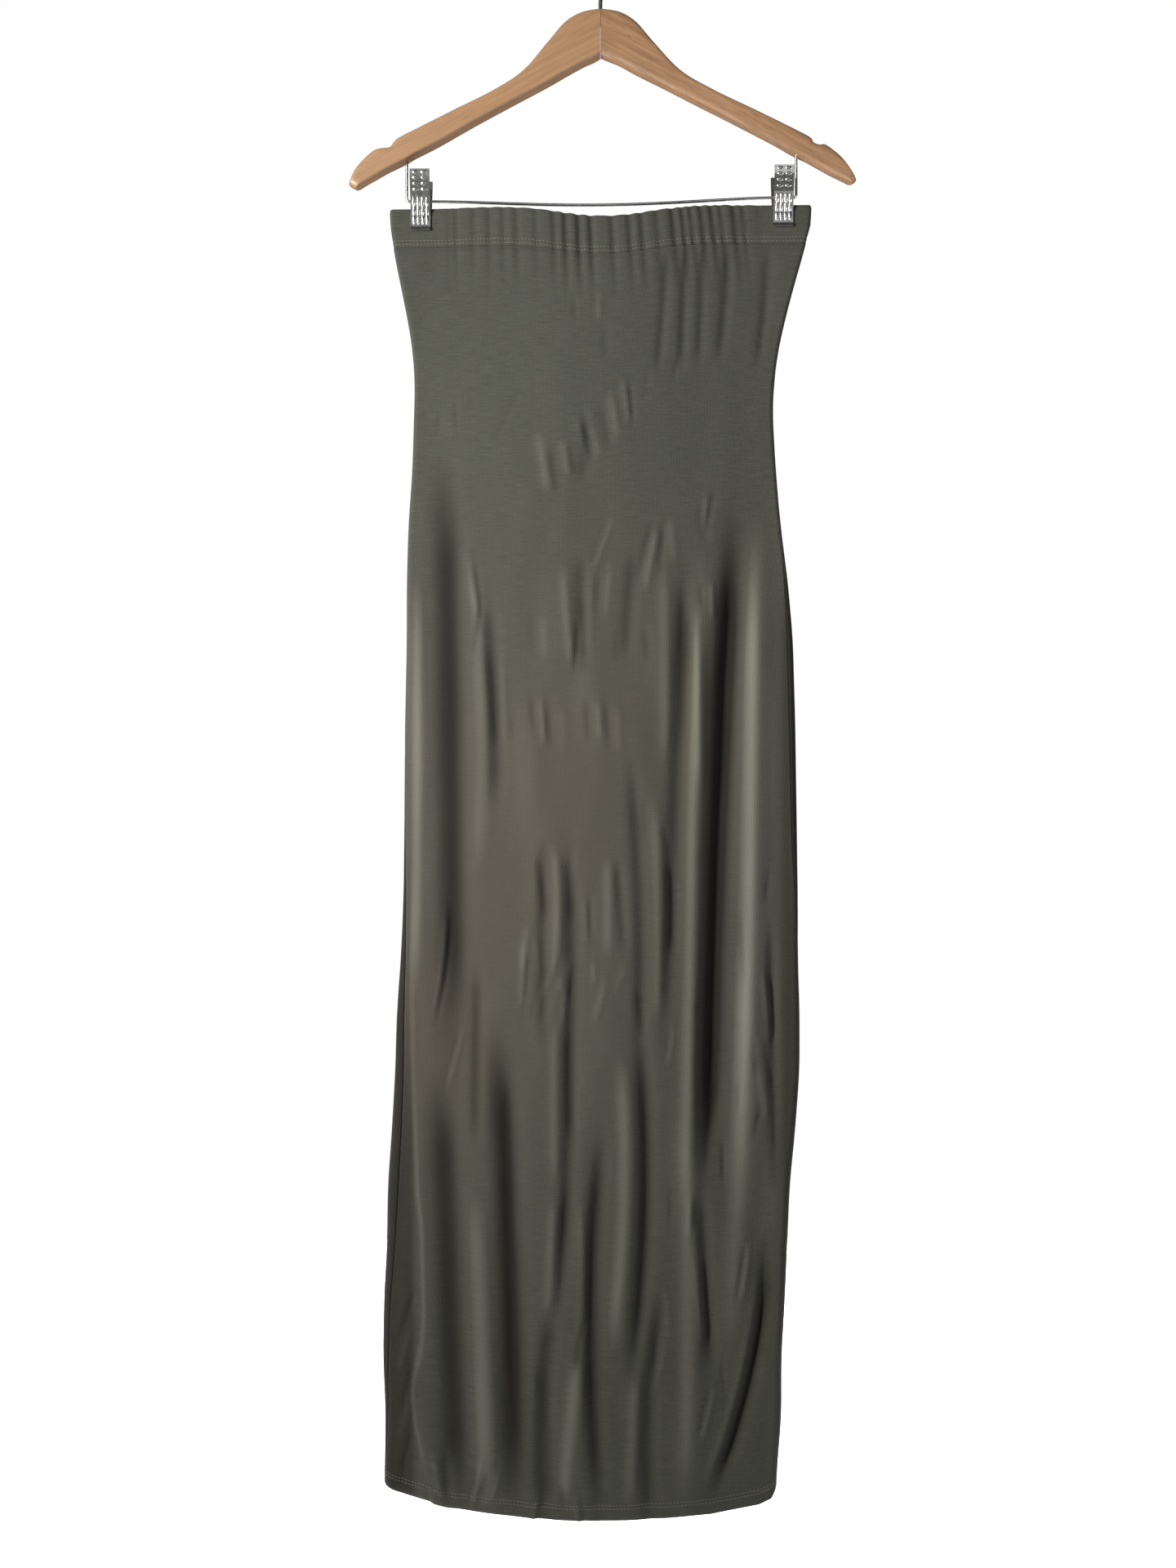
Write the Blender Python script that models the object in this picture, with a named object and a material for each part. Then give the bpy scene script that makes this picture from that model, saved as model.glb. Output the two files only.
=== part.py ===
"""Strapless column dress in fine jersey, hung by its top casing from a wooden hanger with two clips.

Lengths are in millimetres until a mesh is made. The origin is the inside top of the hanger's hook,
+Z is up, the front of the dress faces -Y and +X is to the right of someone facing it. "Drop" is the
distance below the top edge of the casing. The cloth is worked out from its outer face: a table of
sections gives the outline at each drop, and a table of folds is added to it.
"""

import math
from collections import namedtuple

import bmesh
import bpy
import numpy as np

MM = 0.001
SEAM_GAP = 0.3
TOP_Z = -233.6
CASING_DEEP = 34.0
HEM_DROP = 1108.0
HEM_DEEP = 13.0
JERSEY = 1.3
CASING_WALL = 3.0
FRONT, BACK = -1, 1

ARM_JOINT_X = -2.0
ARM_HALF_THICK = 7.0
BAR_RADIUS = 1.2
BAR_BEND = 3.0
BAR_SAG = 4.5
LEG_X = (-170.6, 168.5)
HOOK_RADIUS = 1.7
CLIP_CENTRES = {"left": (-158.0, -228.0), "right": (156.6, -224.5)}

Section = namedtuple("Section", "drop left right front back left_round right_round left_seam right_seam")
# left and right are the outline, front and back the bulge beyond the side rounds, and the two
# seam columns say how far in from the outline the side seam lies on the front.
SECTIONS = (
    Section(0, -185.6, 182.0, 10, 8, 3.6, 3.6, 0, 0),
    Section(19, -184.1, 180.6, 10, 8, 3.6, 3.6, 0, 0),
    Section(36, -182.0, 176.3, 11, 8, 3.6, 3.6, 0, 0),
    Section(53, -178.5, 171.4, 12, 9, 3.8, 3.8, 0, 0),
    Section(78, -173.5, 164.2, 12, 9, 4.0, 4.0, 0, 0),
    Section(103, -168.5, 157.8, 13, 9, 4.2, 4.2, 0, 0),
    Section(128, -165.0, 152.2, 13, 10, 4.5, 4.5, 0, 0),
    Section(153, -163.5, 149.3, 14, 11, 4.8, 4.8, 0, 0),
    Section(178, -164.2, 147.9, 15, 12, 5.0, 5.0, 0, 0),
    Section(228, -165.7, 150.7, 17, 13, 5.0, 5.0, 0, 0),
    Section(277, -169.2, 155.0, 18, 14, 5.0, 5.0, 0, 0.5),
    Section(327, -170.6, 161.4, 19, 15, 5.2, 5.6, 0, 3.5),
    Section(377, -170.6, 165.7, 20, 16, 5.4, 6.2, 0, 5.6),
    Section(451, -172.1, 167.8, 20, 16, 5.6, 6.5, 0, 6.0),
    Section(551, -172.8, 169.2, 20, 16, 5.8, 6.5, 1.5, 5.2),
    Section(601, -173.5, 169.9, 20, 16, 6.0, 6.5, 3.0, 2.6),
    Section(650, -175.6, 169.9, 20, 17, 7.0, 6.5, 5.0, 0.6),
    Section(700, -179.2, 171.4, 20, 17, 8.5, 6.5, 7.5, 0),
    Section(750, -180.6, 171.4, 20, 18, 9.5, 6.8, 8.8, 0),
    Section(800, -183.4, 167.8, 20, 18, 10.5, 7.2, 9.8, 0),
    Section(850, -187.0, 162.8, 21, 19, 11.0, 8.0, 10.8, 0),
    Section(900, -187.7, 160.7, 21, 20, 10.0, 8.5, 8.4, 0),
    Section(949, -190.5, 158.6, 22, 20, 9.5, 9.0, 7.0, 0),
    Section(999, -191.3, 155.7, 22, 21, 9.0, 9.5, 6.0, 0),
    Section(1049, -189.1, 155.7, 22, 22, 8.5, 9.5, 3.5, 0),
    Section(1091, -189.8, 152.2, 22, 22, 8.0, 9.0, 1.5, 0),
    Section(1110, -190.0, 151.0, 22, 22, 8.0, 9.0, 1.0, 0),
)

Fold = namedtuple("Fold", "name top_x top mid_x mid low_x low half_width depth")
# Each fold runs through three points. A positive depth is a trough, a negative one a ridge.
FRONT_FOLDS = (
    Fold("trough down the left third", -135.5, 190, -130.6, 459, -126.9, 760, 12.0, 6.2),
    Fold("deep trough down the right third", 117.0, 240, 102.5, 494, 90.0, 865, 10.5, 8.5),
    Fold("ridge beside the deep trough", 133.0, 240, 130.0, 494, 121.0, 900, 10.0, -3.0),
    Fold("second trough on the right", 72.5, 290, 63.8, 501, 54.0, 740, 7.0, 3.2),
    Fold("ridge between the two", 86.0, 280, 79.0, 501, 74.0, 900, 6.5, -2.4),
    Fold("short trough on the left hip", -98.7, 330, -92.3, 424, -90.8, 530, 6.0, 3.0),
    Fold("trough right of centre", 23.4, 470, 32.4, 606, 31.0, 740, 6.0, 2.6),
    Fold("trough right of centre, lower", 30.0, 690, 37.0, 840, 22.0, 1010, 7.0, 4.0),
    Fold("trough left of centre", -27.4, 530, -26.7, 724, -35.7, 960, 6.0, 3.4),
    Fold("trough left of centre, lower", -39.2, 930, -50.3, 1008, -47.5, 1120, 7.0, 3.6),
    Fold("broad trough to the hem", -89.3, 690, -80.2, 876, -73.9, 1130, 11.0, 6.5),
    Fold("left trough to the hem", -137.3, 740, -129.5, 911, -122.5, 1130, 11.0, 5.5),
    Fold("patch between the left troughs", -106.7, 650, -107.4, 738, -108.0, 815, 5.0, 2.4),
    Fold("centre trough to the hem", 2.0, 780, -8.5, 945, 0.5, 1125, 7.5, 4.0),
    Fold("slim trough left of centre", -49.0, 540, -50.4, 633, -49.7, 730, 5.0, 2.2),
    Fold("lower trough on the right", 53.9, 915, 40.7, 1001, 42.0, 1120, 7.0, 3.4),
    Fold("crease along the right edge", 145.9, 610, 147.8, 738, 152.6, 860, 4.5, 2.6),
    Fold("slanting trough to the hem", 144.0, 880, 134.5, 970, 90.0, 1104, 8.0, 4.6),
    Fold("trough under the deep one", 83.1, 840, 88.6, 911, 93.5, 1000, 6.0, 3.0),
    Fold("ripple at the waist", -11.4, 180, -14.2, 214, -18.4, 245, 6.0, 1.6),
    Fold("hip ripple on the left", -17.7, 300, -17.7, 355, -17.0, 410, 6.0, 1.8),
    Fold("hip ripple on the right", 27.1, 300, 23.5, 347, 18.6, 400, 6.0, 1.8),
    Fold("first gather let out", 56.3, 30, 52.7, 86, 47.0, 150, 4.0, 1.5),
    Fold("second gather let out", 71.9, 30, 70.3, 86, 67.4, 150, 4.0, 1.8),
    Fold("third gather let out", 87.4, 30, 85.8, 86, 82.8, 146, 4.0, 1.5),
    Fold("fourth gather let out", 109.3, 30, 106.3, 86, 100.4, 140, 4.5, 1.8),
    Fold("fifth gather let out", 144.5, 30, 141.5, 86, 134.2, 146, 4.5, 1.6),
)
BACK_FOLDS = (
    Fold("trough down the left third", -118.0, 170, -112.0, 470, -120.0, 820, 9.0, 5.0),
    Fold("trough down the right third", 108.0, 210, 114.0, 500, 104.0, 900, 9.0, 5.5),
    Fold("trough left of centre", -62.0, 300, -70.0, 560, -60.0, 860, 8.0, 3.6),
    Fold("trough right of centre", 48.0, 330, 56.0, 600, 60.0, 900, 8.0, 3.8),
    Fold("centre trough", -6.0, 480, -2.0, 760, -10.0, 1120, 8.0, 4.4),
    Fold("left trough to the hem", -140.0, 760, -134.0, 930, -126.0, 1130, 9.0, 4.8),
    Fold("broad trough to the hem", -84.0, 820, -78.0, 960, -84.0, 1130, 9.0, 5.2),
    Fold("right trough to the hem", 122.0, 830, 118.0, 980, 112.0, 1130, 9.0, 5.0),
    Fold("lower trough right of centre", 34.0, 800, 42.0, 960, 38.0, 1130, 8.0, 3.8),
    Fold("hip ripple on the left", -30.0, 230, -38.0, 300, -44.0, 370, 6.0, 1.8),
    Fold("hip ripple on the right", 26.0, 210, 20.0, 280, 8.0, 350, 6.0, 1.8),
    Fold("first gather let out", -96.0, 30, -98.0, 86, -94.0, 150, 4.5, 1.6),
    Fold("second gather let out", -48.0, 30, -46.0, 86, -40.0, 150, 4.5, 1.6),
    Fold("third gather let out", 40.0, 30, 38.0, 86, 32.0, 150, 4.5, 1.6),
    Fold("fourth gather let out", 98.0, 30, 96.0, 86, 90.0, 150, 4.5, 1.6),
)

Gather = namedtuple("Gather", "x half_width depth lean")
# The troughs that the elastic makes in the casing. Lean is how far the foot moves to the right.
FRONT_GATHERS = (
    Gather(-133.8, 2.8, 1.0, 0.5),
    Gather(-127.5, 2.6, 1.1, 0.5),
    Gather(-112.0, 3.2, 0.8, 0.6),
    Gather(-98.6, 3.2, 1.1, 0.8),
    Gather(-86.0, 3.0, 0.9, 0.8),
    Gather(-74.7, 3.4, 1.2, 1.0),
    Gather(-58.0, 3.0, 0.8, 1.0),
    Gather(-42.3, 3.0, 1.3, 1.0),
    Gather(-32.5, 2.8, 1.8, 1.2),
    Gather(-21.2, 2.8, 2.1, 1.5),
    Gather(-10.7, 2.8, 1.9, 1.8),
    Gather(7.6, 3.0, 1.4, 2.0),
    Gather(22.4, 3.0, 1.5, 2.4),
    Gather(32.9, 3.0, 1.5, 2.8),
    Gather(46.0, 3.2, 1.0, 3.0),
    Gather(59.7, 3.0, 2.0, 3.6),
    Gather(68.1, 2.6, 1.8, 4.0),
    Gather(75.1, 2.6, 1.6, 4.4),
    Gather(84.3, 2.8, 1.8, 4.6),
    Gather(93.4, 2.8, 1.9, 4.6),
    Gather(101.2, 2.6, 1.4, 4.4),
    Gather(113.1, 3.0, 1.8, 4.2),
    Gather(120.9, 2.8, 1.3, 4.0),
    Gather(135.7, 3.0, 1.6, 3.6),
)
BACK_GATHERS = tuple(
    Gather(-135.0 + 12.1 * place + 3.1 * math.sin(2.3 * place), 3.2, 1.2 + 0.5 * math.sin(1.7 * place), 1.5)
    for place in range(23)
)

Arm = namedtuple("Arm", "top_x top_z low_x low_z")
LEFT_ARM = (
    Arm(-2.15, -62.1, -2.15, -101.1),
    Arm(-17.7, -64.9, -8.5, -104.7),
    Arm(-32.6, -73.4, -16.4, -108.2),
    Arm(-47.4, -90.4, -32.1, -116.8),
    Arm(-69.3, -115.8, -47.1, -125.4),
    Arm(-94.8, -132.8, -79.3, -142.6),
    Arm(-128.7, -149.7, -110.8, -159.7),
    Arm(-162.6, -166.7, -140.8, -176.9),
    Arm(-176.7, -173.8, -158.7, -186.2),
    Arm(-181.0, -177.3, -164.4, -189.1),
    Arm(-185.2, -182.3, -170.2, -192.7),
    Arm(-193.0, -183.2, -180.2, -197.7),
    Arm(-198.7, -185.1, -188.8, -202.0),
    Arm(-206.4, -191.4, -197.4, -207.0),
    Arm(-214.9, -201.3, -205.2, -211.3),
    Arm(-220.6, -213.4, -214.2, -217.0),
)
RIGHT_ARM = (
    Arm(-1.85, -62.1, -1.85, -101.1),
    Arm(14.8, -64.9, 6.5, -104.7),
    Arm(28.9, -73.4, 15.1, -108.2),
    Arm(43.7, -90.4, 30.8, -116.8),
    Arm(67.8, -115.8, 48.7, -125.4),
    Arm(96.7, -132.8, 82.3, -142.6),
    Arm(132.1, -149.7, 116.0, -159.7),
    Arm(166.7, -166.7, 148.9, -176.9),
    Arm(180.1, -173.8, 162.5, -184.8),
    Arm(183.0, -178.0, 169.6, -188.4),
    Arm(187.9, -180.1, 176.8, -191.9),
    Arm(193.6, -180.1, 184.6, -196.2),
    Arm(204.2, -187.9, 196.1, -202.7),
    Arm(211.9, -196.4, 206.8, -208.0),
    Arm(220.4, -209.8, 216.1, -212.3),
)


def smooth(value):
    """0 below 0, 1 above 1, with a soft start and end."""
    held = np.clip(value, 0.0, 1.0)
    return held * held * (3.0 - 2.0 * held)


def section_value(column, drop):
    drops = [row.drop for row in SECTIONS]
    return np.interp(drop, drops, [getattr(row, column) for row in SECTIONS])


def fold_heights(folds, x, drop):
    """How far outwards the folds carry the cloth: negative in a trough."""
    height = np.zeros_like(x)
    for fold in folds:
        near = (drop - fold.mid) * (drop - fold.low) / ((fold.top - fold.mid) * (fold.top - fold.low))
        middle = (drop - fold.top) * (drop - fold.low) / ((fold.mid - fold.top) * (fold.mid - fold.low))
        far = (drop - fold.top) * (drop - fold.mid) / ((fold.low - fold.top) * (fold.low - fold.mid))
        centre = near * fold.top_x + middle * fold.mid_x + far * fold.low_x
        run = 0.22 * (fold.low - fold.top)
        fade = smooth((drop - fold.top) / run) * smooth((fold.low - drop) / run)
        height -= fold.depth * fade * np.exp(-(((x - centre) / fold.half_width) ** 2))
    return height


def gather_heights(gathers, x, drop):
    """The elastic's small troughs, fading out below the casing and under the clips."""
    height = np.zeros_like(x)
    for gather in gathers:
        centre = gather.x + gather.lean * drop / CASING_DEEP
        height -= gather.depth * np.exp(-(((x - centre) / gather.half_width) ** 2))
    between_clips = smooth((x + 146.0) / 26.0) * smooth((145.0 - x) / 26.0)
    return height * between_clips * (1.0 - smooth((drop - 25.0) / 60.0))


def roll_shape(x, drop):
    """The roll of cloth that hangs over the left side seam: its height, and how far it leans out."""
    edge = np.interp(
        drop,
        (560, 650, 750, 850, 880, 950, 980, 1004, 1020, 1046, 1070, 1110),
        (-168, -167, -164.5, -160.5, -156.5, -154.5, -156.5, -163.5, -165.0, -162.0, -156.0, -148.0),
    )
    size = np.interp(drop, (560, 650, 800, 900, 1000, 1060, 1110), (0, 2.5, 6.0, 8.0, 7.5, 6.0, 2.5))
    inside = x - edge
    height = size * smooth((inside + 2.0) / 7.0) * np.exp(-((np.maximum(inside, 0.0) / 26.0) ** 2))
    return height, 0.22 * height * np.exp(-(((inside - 5.0) / 8.0) ** 2))


def edge_drop(side, x, drop):
    """The sag of the top edge between the clips, and the shaped line of the hem."""
    sag = (11.5 if side == FRONT else 9.5) * np.exp(-(((x - 2.0) / 58.0) ** 2)) - 0.011 * (x + 2.0)
    hem_x = (-190, -180, -133, -59, -4, 40, 93, 135, 146, 152)
    front_hem = (0, 4.5, 14, 17.5, 18.5, 19, 19.5, 15.5, 11, 2)
    back_hem = (0, 1, 8, 12, 13, 12, 9, 6, 3, 0)
    hem = np.interp(x, hem_x, front_hem if side == FRONT else back_hem)
    return sag * (1.0 - smooth(drop / 260.0)) + hem * smooth((drop - 800.0) / 308.0)


def cloth_point(side, along, drop):
    """The outer face of the tube. Along runs from 0 at the left seam to 1 at the right seam."""
    left, right = section_value("left", drop), section_value("right", drop)
    left_round, right_round = section_value("left_round", drop), section_value("right_round", drop)
    left_turn = np.arccos(np.clip(1.0 - section_value("left_seam", drop) / left_round, -1.0, 1.0))
    right_turn = np.arccos(np.clip(1.0 - section_value("right_seam", drop) / right_round, -1.0, 1.0))
    half_gap = 0.5 * SEAM_GAP
    left_start = -side * left_turn + half_gap / left_round
    right_start = -side * right_turn + half_gap / right_round
    left_arc = left_round * (0.5 * math.pi - left_start)
    right_arc = right_round * (0.5 * math.pi - right_start)
    flat = (right - right_round) - (left + left_round)
    length = along * (left_arc + flat + right_arc)
    from_right = (1.0 - along) * (left_arc + flat + right_arc)
    left_angle = left_start + np.minimum(length, left_arc) / left_round
    right_angle = right_start + np.minimum(from_right, right_arc) / right_round
    share = np.clip((length - left_arc) / flat, 0.0, 1.0)
    x = left + left_round * (1.0 - np.cos(left_angle))
    x = np.where(share > 0.0, left + left_round + share * flat, x)
    x = np.where(share >= 1.0, right - right_round * (1.0 - np.cos(right_angle)), x)
    near_left = left_round * np.sin(left_angle) + (right_round - left_round) * share
    near_right = right_round * np.sin(right_angle) + (left_round - right_round) * (1.0 - share)
    depth = np.where(share < 0.5, near_left, near_right)
    pinch = 36.0 * (1.0 - smooth((drop - 22.0) / 110.0))
    open_share = np.clip((share * flat - pinch) / (flat - 2.0 * pinch), 0.0, 1.0)
    bulge = section_value("front" if side == FRONT else "back", drop)
    depth += bulge * np.sin(math.pi * open_share) ** 1.2
    height = fold_heights(FRONT_FOLDS if side == FRONT else BACK_FOLDS, x, drop)
    height += gather_heights(FRONT_GATHERS if side == FRONT else BACK_GATHERS, x, drop)
    edge_fade = smooth(share * flat / 14.0) * smooth((1.0 - share) * flat / 14.0)
    height *= edge_fade
    if side == FRONT:
        roll, lean = roll_shape(x, drop)
        near_seam = smooth(share * flat / 5.0)
        height += roll * near_seam
        x = x - lean * near_seam
    depth += height
    z = TOP_Z - drop - edge_drop(side, x, drop)
    return np.stack([x, side * depth, z], axis=-1)


def cloth_normal(side, along, drop):
    """The outward direction, from small steps along and down the outer face."""
    step_along, step_drop = 1e-5, 0.01
    across = cloth_point(side, along + step_along, drop) - cloth_point(side, along - step_along, drop)
    down = cloth_point(side, along, drop + step_drop) - cloth_point(side, along, drop - step_drop)
    normal = np.cross(across, down) * side
    return normal / np.linalg.norm(normal, axis=-1, keepdims=True)


def principled(name, colour, roughness, metallic=0.0):
    material = bpy.data.materials.new(name)
    material.use_nodes = True
    shader = material.node_tree.nodes["Principled BSDF"]
    shader.inputs["Base Color"].default_value = (*colour, 1.0)
    shader.inputs["Roughness"].default_value = roughness
    shader.inputs["Metallic"].default_value = metallic
    material.diffuse_color = (*colour, 1.0)
    return material


def add_solid(name, points, faces, material, smooth_faces=True):
    """One object from points in millimetres, with its faces turned outwards."""
    mesh = bpy.data.meshes.new(name)
    mesh.from_pydata([tuple(MM * value for value in point) for point in points], [], faces)
    work = bmesh.new()
    work.from_mesh(mesh)
    bmesh.ops.recalc_face_normals(work, faces=work.faces)
    work.to_mesh(mesh)
    work.free()
    mesh.polygons.foreach_set("use_smooth", [smooth_faces] * len(mesh.polygons))
    mesh.materials.append(material)
    solid = bpy.data.objects.new(name, mesh)
    bpy.context.scene.collection.objects.link(solid)
    return solid


def ring_faces(first, second):
    """Quads between two closed rings of point numbers."""
    count = len(first)
    return [
        (first[place], first[(place + 1) % count], second[(place + 1) % count], second[place])
        for place in range(count)
    ]


def lofted(name, rings, material, smooth_faces=True):
    """A closed solid through rings of points, capped at both ends."""
    points = [point for ring in rings for point in ring]
    count = len(rings[0])
    numbers = [list(range(start, start + count)) for start in range(0, len(points), count)]
    faces = [face for one, two in zip(numbers, numbers[1:]) for face in ring_faces(one, two)]
    faces += [tuple(reversed(numbers[0])), tuple(numbers[-1])]
    return add_solid(name, points, faces, material, smooth_faces)


def panel_columns():
    edge_left = np.linspace(0.0, 0.10, 9)
    middle = np.linspace(0.10, 0.92, 33)
    edge_right = np.linspace(0.92, 1.0, 6)
    return np.concatenate([edge_left, middle[1:], edge_right[1:]])


def panel_rows(count):
    top = CASING_DEEP + SEAM_GAP
    turned = HEM_DROP - HEM_DEEP
    body = np.linspace(top, turned, count)
    return np.concatenate([body, [turned + 1.5, HEM_DROP - 1.2, HEM_DROP]])


def add_panel(name, side, columns, rows, material):
    """One panel from seam to seam, with its lower edge turned up inside so that the wall doubles."""
    along, drop = np.meshgrid(columns, rows)
    outer = cloth_point(side, along, drop)
    normal = cloth_normal(side, along, drop)
    turned = smooth((drop - (HEM_DROP - HEM_DEEP)) / 1.5)
    wall = JERSEY * (1.0 + turned)
    wall[-1, :] = JERSEY * 0.9
    inner = outer - normal * wall[..., None]
    outer[-1] -= normal[-1] * 0.8
    inner[-1] -= normal[-1] * 0.3
    return add_sheet(name, outer, inner, material)


def add_sheet(name, outer, inner, material):
    """Closes an outer and an inner grid of points into one wall."""
    row_count, column_count = outer.shape[:2]
    points = np.concatenate([outer.reshape(-1, 3), inner.reshape(-1, 3)])
    front = np.arange(row_count * column_count).reshape(row_count, column_count)
    behind = front + row_count * column_count
    faces = []
    for row in range(row_count - 1):
        for column in range(column_count - 1):
            here, there = slice(column, column + 2), slice(row, row + 2)
            quad = front[there, here]
            faces.append((quad[0, 0], quad[0, 1], quad[1, 1], quad[1, 0]))
            quad = behind[there, here]
            faces.append((quad[0, 0], quad[1, 0], quad[1, 1], quad[0, 1]))
    around = np.concatenate([front[0, :-1], front[:-1, -1], front[-1, :0:-1], front[:0:-1, 0]])
    faces += ring_faces(list(around), list(around + row_count * column_count))
    return add_solid(name, points, [tuple(int(number) for number in face) for face in faces], material)


def add_casing(name, side, columns, material):
    """The strip folded over the elastic: two layers of jersey with a rounded fold at the top."""
    profile = (
        # drop, depth below the outer face
        (CASING_DEEP, 0.0),
        (24.0, 0.0),
        (12.0, 0.0),
        (2.0, 0.0),
        (0.5, 0.6),
        (0.0, 1.5),
        (0.5, 2.4),
        (2.0, CASING_WALL),
        (18.0, CASING_WALL),
        (CASING_DEEP, CASING_WALL),
    )
    rings = []
    for column in columns:
        ring = []
        for drop, below in profile:
            along, level = np.array(column), np.array(drop)
            point = cloth_point(side, along, level) - cloth_normal(side, along, level) * below
            ring.append(tuple(point))
        rings.append(ring)
    return lofted(name, rings, material)


def arm_ring(arm, half_thick, top_round, low_round):
    """Ten points round one station: rounded above, and rounded less below."""
    top = np.array((arm.top_x, arm.top_z))
    low = np.array((arm.low_x, arm.low_z))
    height = float(np.linalg.norm(low - top))
    down = (low - top) / height
    top_round = min(top_round, 0.4 * height, 0.8 * half_thick)
    low_round = min(low_round, 0.4 * height, 0.8 * half_thick)
    spots = []
    for side in (-1.0, 1.0):
        corner = []
        for angle in (0.0, 0.25 * math.pi, 0.5 * math.pi):
            across = half_thick - top_round * (1.0 - math.sin(angle))
            corner.append((side * across, top_round * (1.0 - math.cos(angle))))
        for angle in (0.5 * math.pi, 0.25 * math.pi, 0.0):
            across = half_thick - low_round * (1.0 - math.sin(angle))
            corner.append((side * across, height - low_round * (1.0 - math.cos(angle))))
        spots.append(corner)
    ring = spots[0] + spots[1][::-1]
    return [(top[0] + down[0] * reach, across, top[1] + down[1] * reach) for across, reach in ring]


def add_cutter(name, centre, radius, length, axis, sides=20):
    """A round rod that only cuts holes."""
    work = bmesh.new()
    bmesh.ops.create_cone(
        work,
        cap_ends=True,
        segments=sides,
        radius1=radius * MM,
        radius2=radius * MM,
        depth=length * MM,
    )
    mesh = bpy.data.meshes.new(name)
    work.to_mesh(mesh)
    work.free()
    rod = bpy.data.objects.new(name, mesh)
    rod.location = [MM * value for value in centre]
    if axis == "X":
        rod.rotation_euler = (0.0, 0.5 * math.pi, 0.0)
    rod.hide_render = True
    rod.display_type = "WIRE"
    bpy.context.scene.collection.objects.link(rod)
    return rod


def boolean(solid, other, operation):
    change = solid.modifiers.new(f"{operation.lower()} {other.name}", "BOOLEAN")
    change.operation = operation
    change.solver = "EXACT"
    change.object = other


def add_arm(name, stations, low_round, material):
    rings = []
    last = len(stations) - 1
    for place, station in enumerate(stations):
        half_thick = ARM_HALF_THICK - 1.0 * place / last - (2.4 if place == last else 0.0)
        rings.append(arm_ring(station, half_thick, 3.0, low_round))
    return lofted(name, rings, material)


def swept_tube(name, path, radius, sides, material):
    """A round wire along a path of points, with flat ends that are slightly drawn in."""
    path = np.array(path, float)
    ahead = np.gradient(path, axis=0)
    ahead /= np.linalg.norm(ahead, axis=1, keepdims=True)
    across = np.cross(ahead[0], (0.0, 1.0, 0.0))
    if np.linalg.norm(across) < 0.1:
        across = np.cross(ahead[0], (1.0, 0.0, 0.0))
    rings = []
    for place, point in enumerate(path):
        across = across - ahead[place] * np.dot(across, ahead[place])
        across /= np.linalg.norm(across)
        other = np.cross(ahead[place], across)
        reach = radius * (0.7 if place in (0, len(path) - 1) else 1.0)
        ring = []
        for turn in range(sides):
            angle = 2.0 * math.pi * turn / sides
            ring.append(tuple(point + reach * (math.cos(angle) * across + math.sin(angle) * other)))
        rings.append(ring)
    return lofted(name, rings, material)


def arc_points(centre, radius, start, end, count):
    """Points on an arc in the XZ plane, angles in degrees from +X."""
    angles = np.radians(np.linspace(start, end, count))
    return [(centre[0] + radius * math.cos(a), 0.0, centre[1] + radius * math.sin(a)) for a in angles]


def add_hook(material):
    """A bent wire: threaded into the wood, up, and round to the left over the hanging point."""
    loop = 20.0 + HOOK_RADIUS
    path = [(ARM_JOINT_X, 0.0, -75.0), (ARM_JOINT_X, 0.0, -74.0), (ARM_JOINT_X, 0.0, -62.0)]
    path += [(ARM_JOINT_X, 0.0, -54.0), (-1.2, 0.0, -50.0), (1.6, 0.0, -45.5), (6.4, 0.0, -41.2)]
    path += arc_points((0.0, -20.0), loop, -52.0, 200.0, 26)
    path += [(path[-1][0] + 0.5, 0.0, path[-1][2] - 0.9)]
    return swept_tube("hook", path, HOOK_RADIUS, 10, material)


def add_bar(material):
    """The bar that carries the clips: two legs up into the wood and a slightly sagging middle."""
    (left_clip, left_z), (right_clip, right_z) = CLIP_CENTRES["left"], CLIP_CENTRES["right"]
    left_x, right_x = LEG_X
    path = [(left_x, 0.0, -179.0), (left_x, 0.0, -180.0), (left_x, 0.0, -204.0), (left_x, 0.0, left_z + 6.0)]
    path += arc_points((left_x + BAR_BEND, left_z + BAR_BEND), BAR_BEND, 190.0, 270.0, 5)
    path += [(left_clip, 0.0, left_z)]
    for share in np.linspace(0.0, 1.0, 11):
        x = left_clip + 10.0 + share * (right_clip - left_clip - 20.0)
        sag = BAR_SAG * math.sin(math.pi * share) ** 1.5
        path.append((x, 0.0, left_z + share * (right_z - left_z) - sag))
    path += [(right_clip, 0.0, right_z)]
    path += arc_points((right_x - BAR_BEND, right_z + BAR_BEND), BAR_BEND, 270.0, 350.0, 5)
    path += [(right_x, 0.0, right_z + 6.0), (right_x, 0.0, -200.0), (right_x, 0.0, -178.0), (right_x, 0.0, -177.0)]
    return swept_tube("clip_bar", path, BAR_RADIUS, 8, material)


def jaw_profile(face):
    """The outline of one jaw seen from the side, as (depth, height) pairs for the front or the back."""
    outer = ((13.0, 23.0), (12.6, 16.0), (8.6, 2.0), (6.4, -8.0), (5.1, -14.0), (5.1, -23.5), (6.1, -26.5))
    inner = ((5.0, -26.9), (3.9, -24.0), (3.9, -13.6), (5.2, -7.6), (7.4, 2.4), (11.4, 16.2), (11.8, 23.0))
    return [(face * depth, height) for depth, height in outer + inner]


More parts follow.
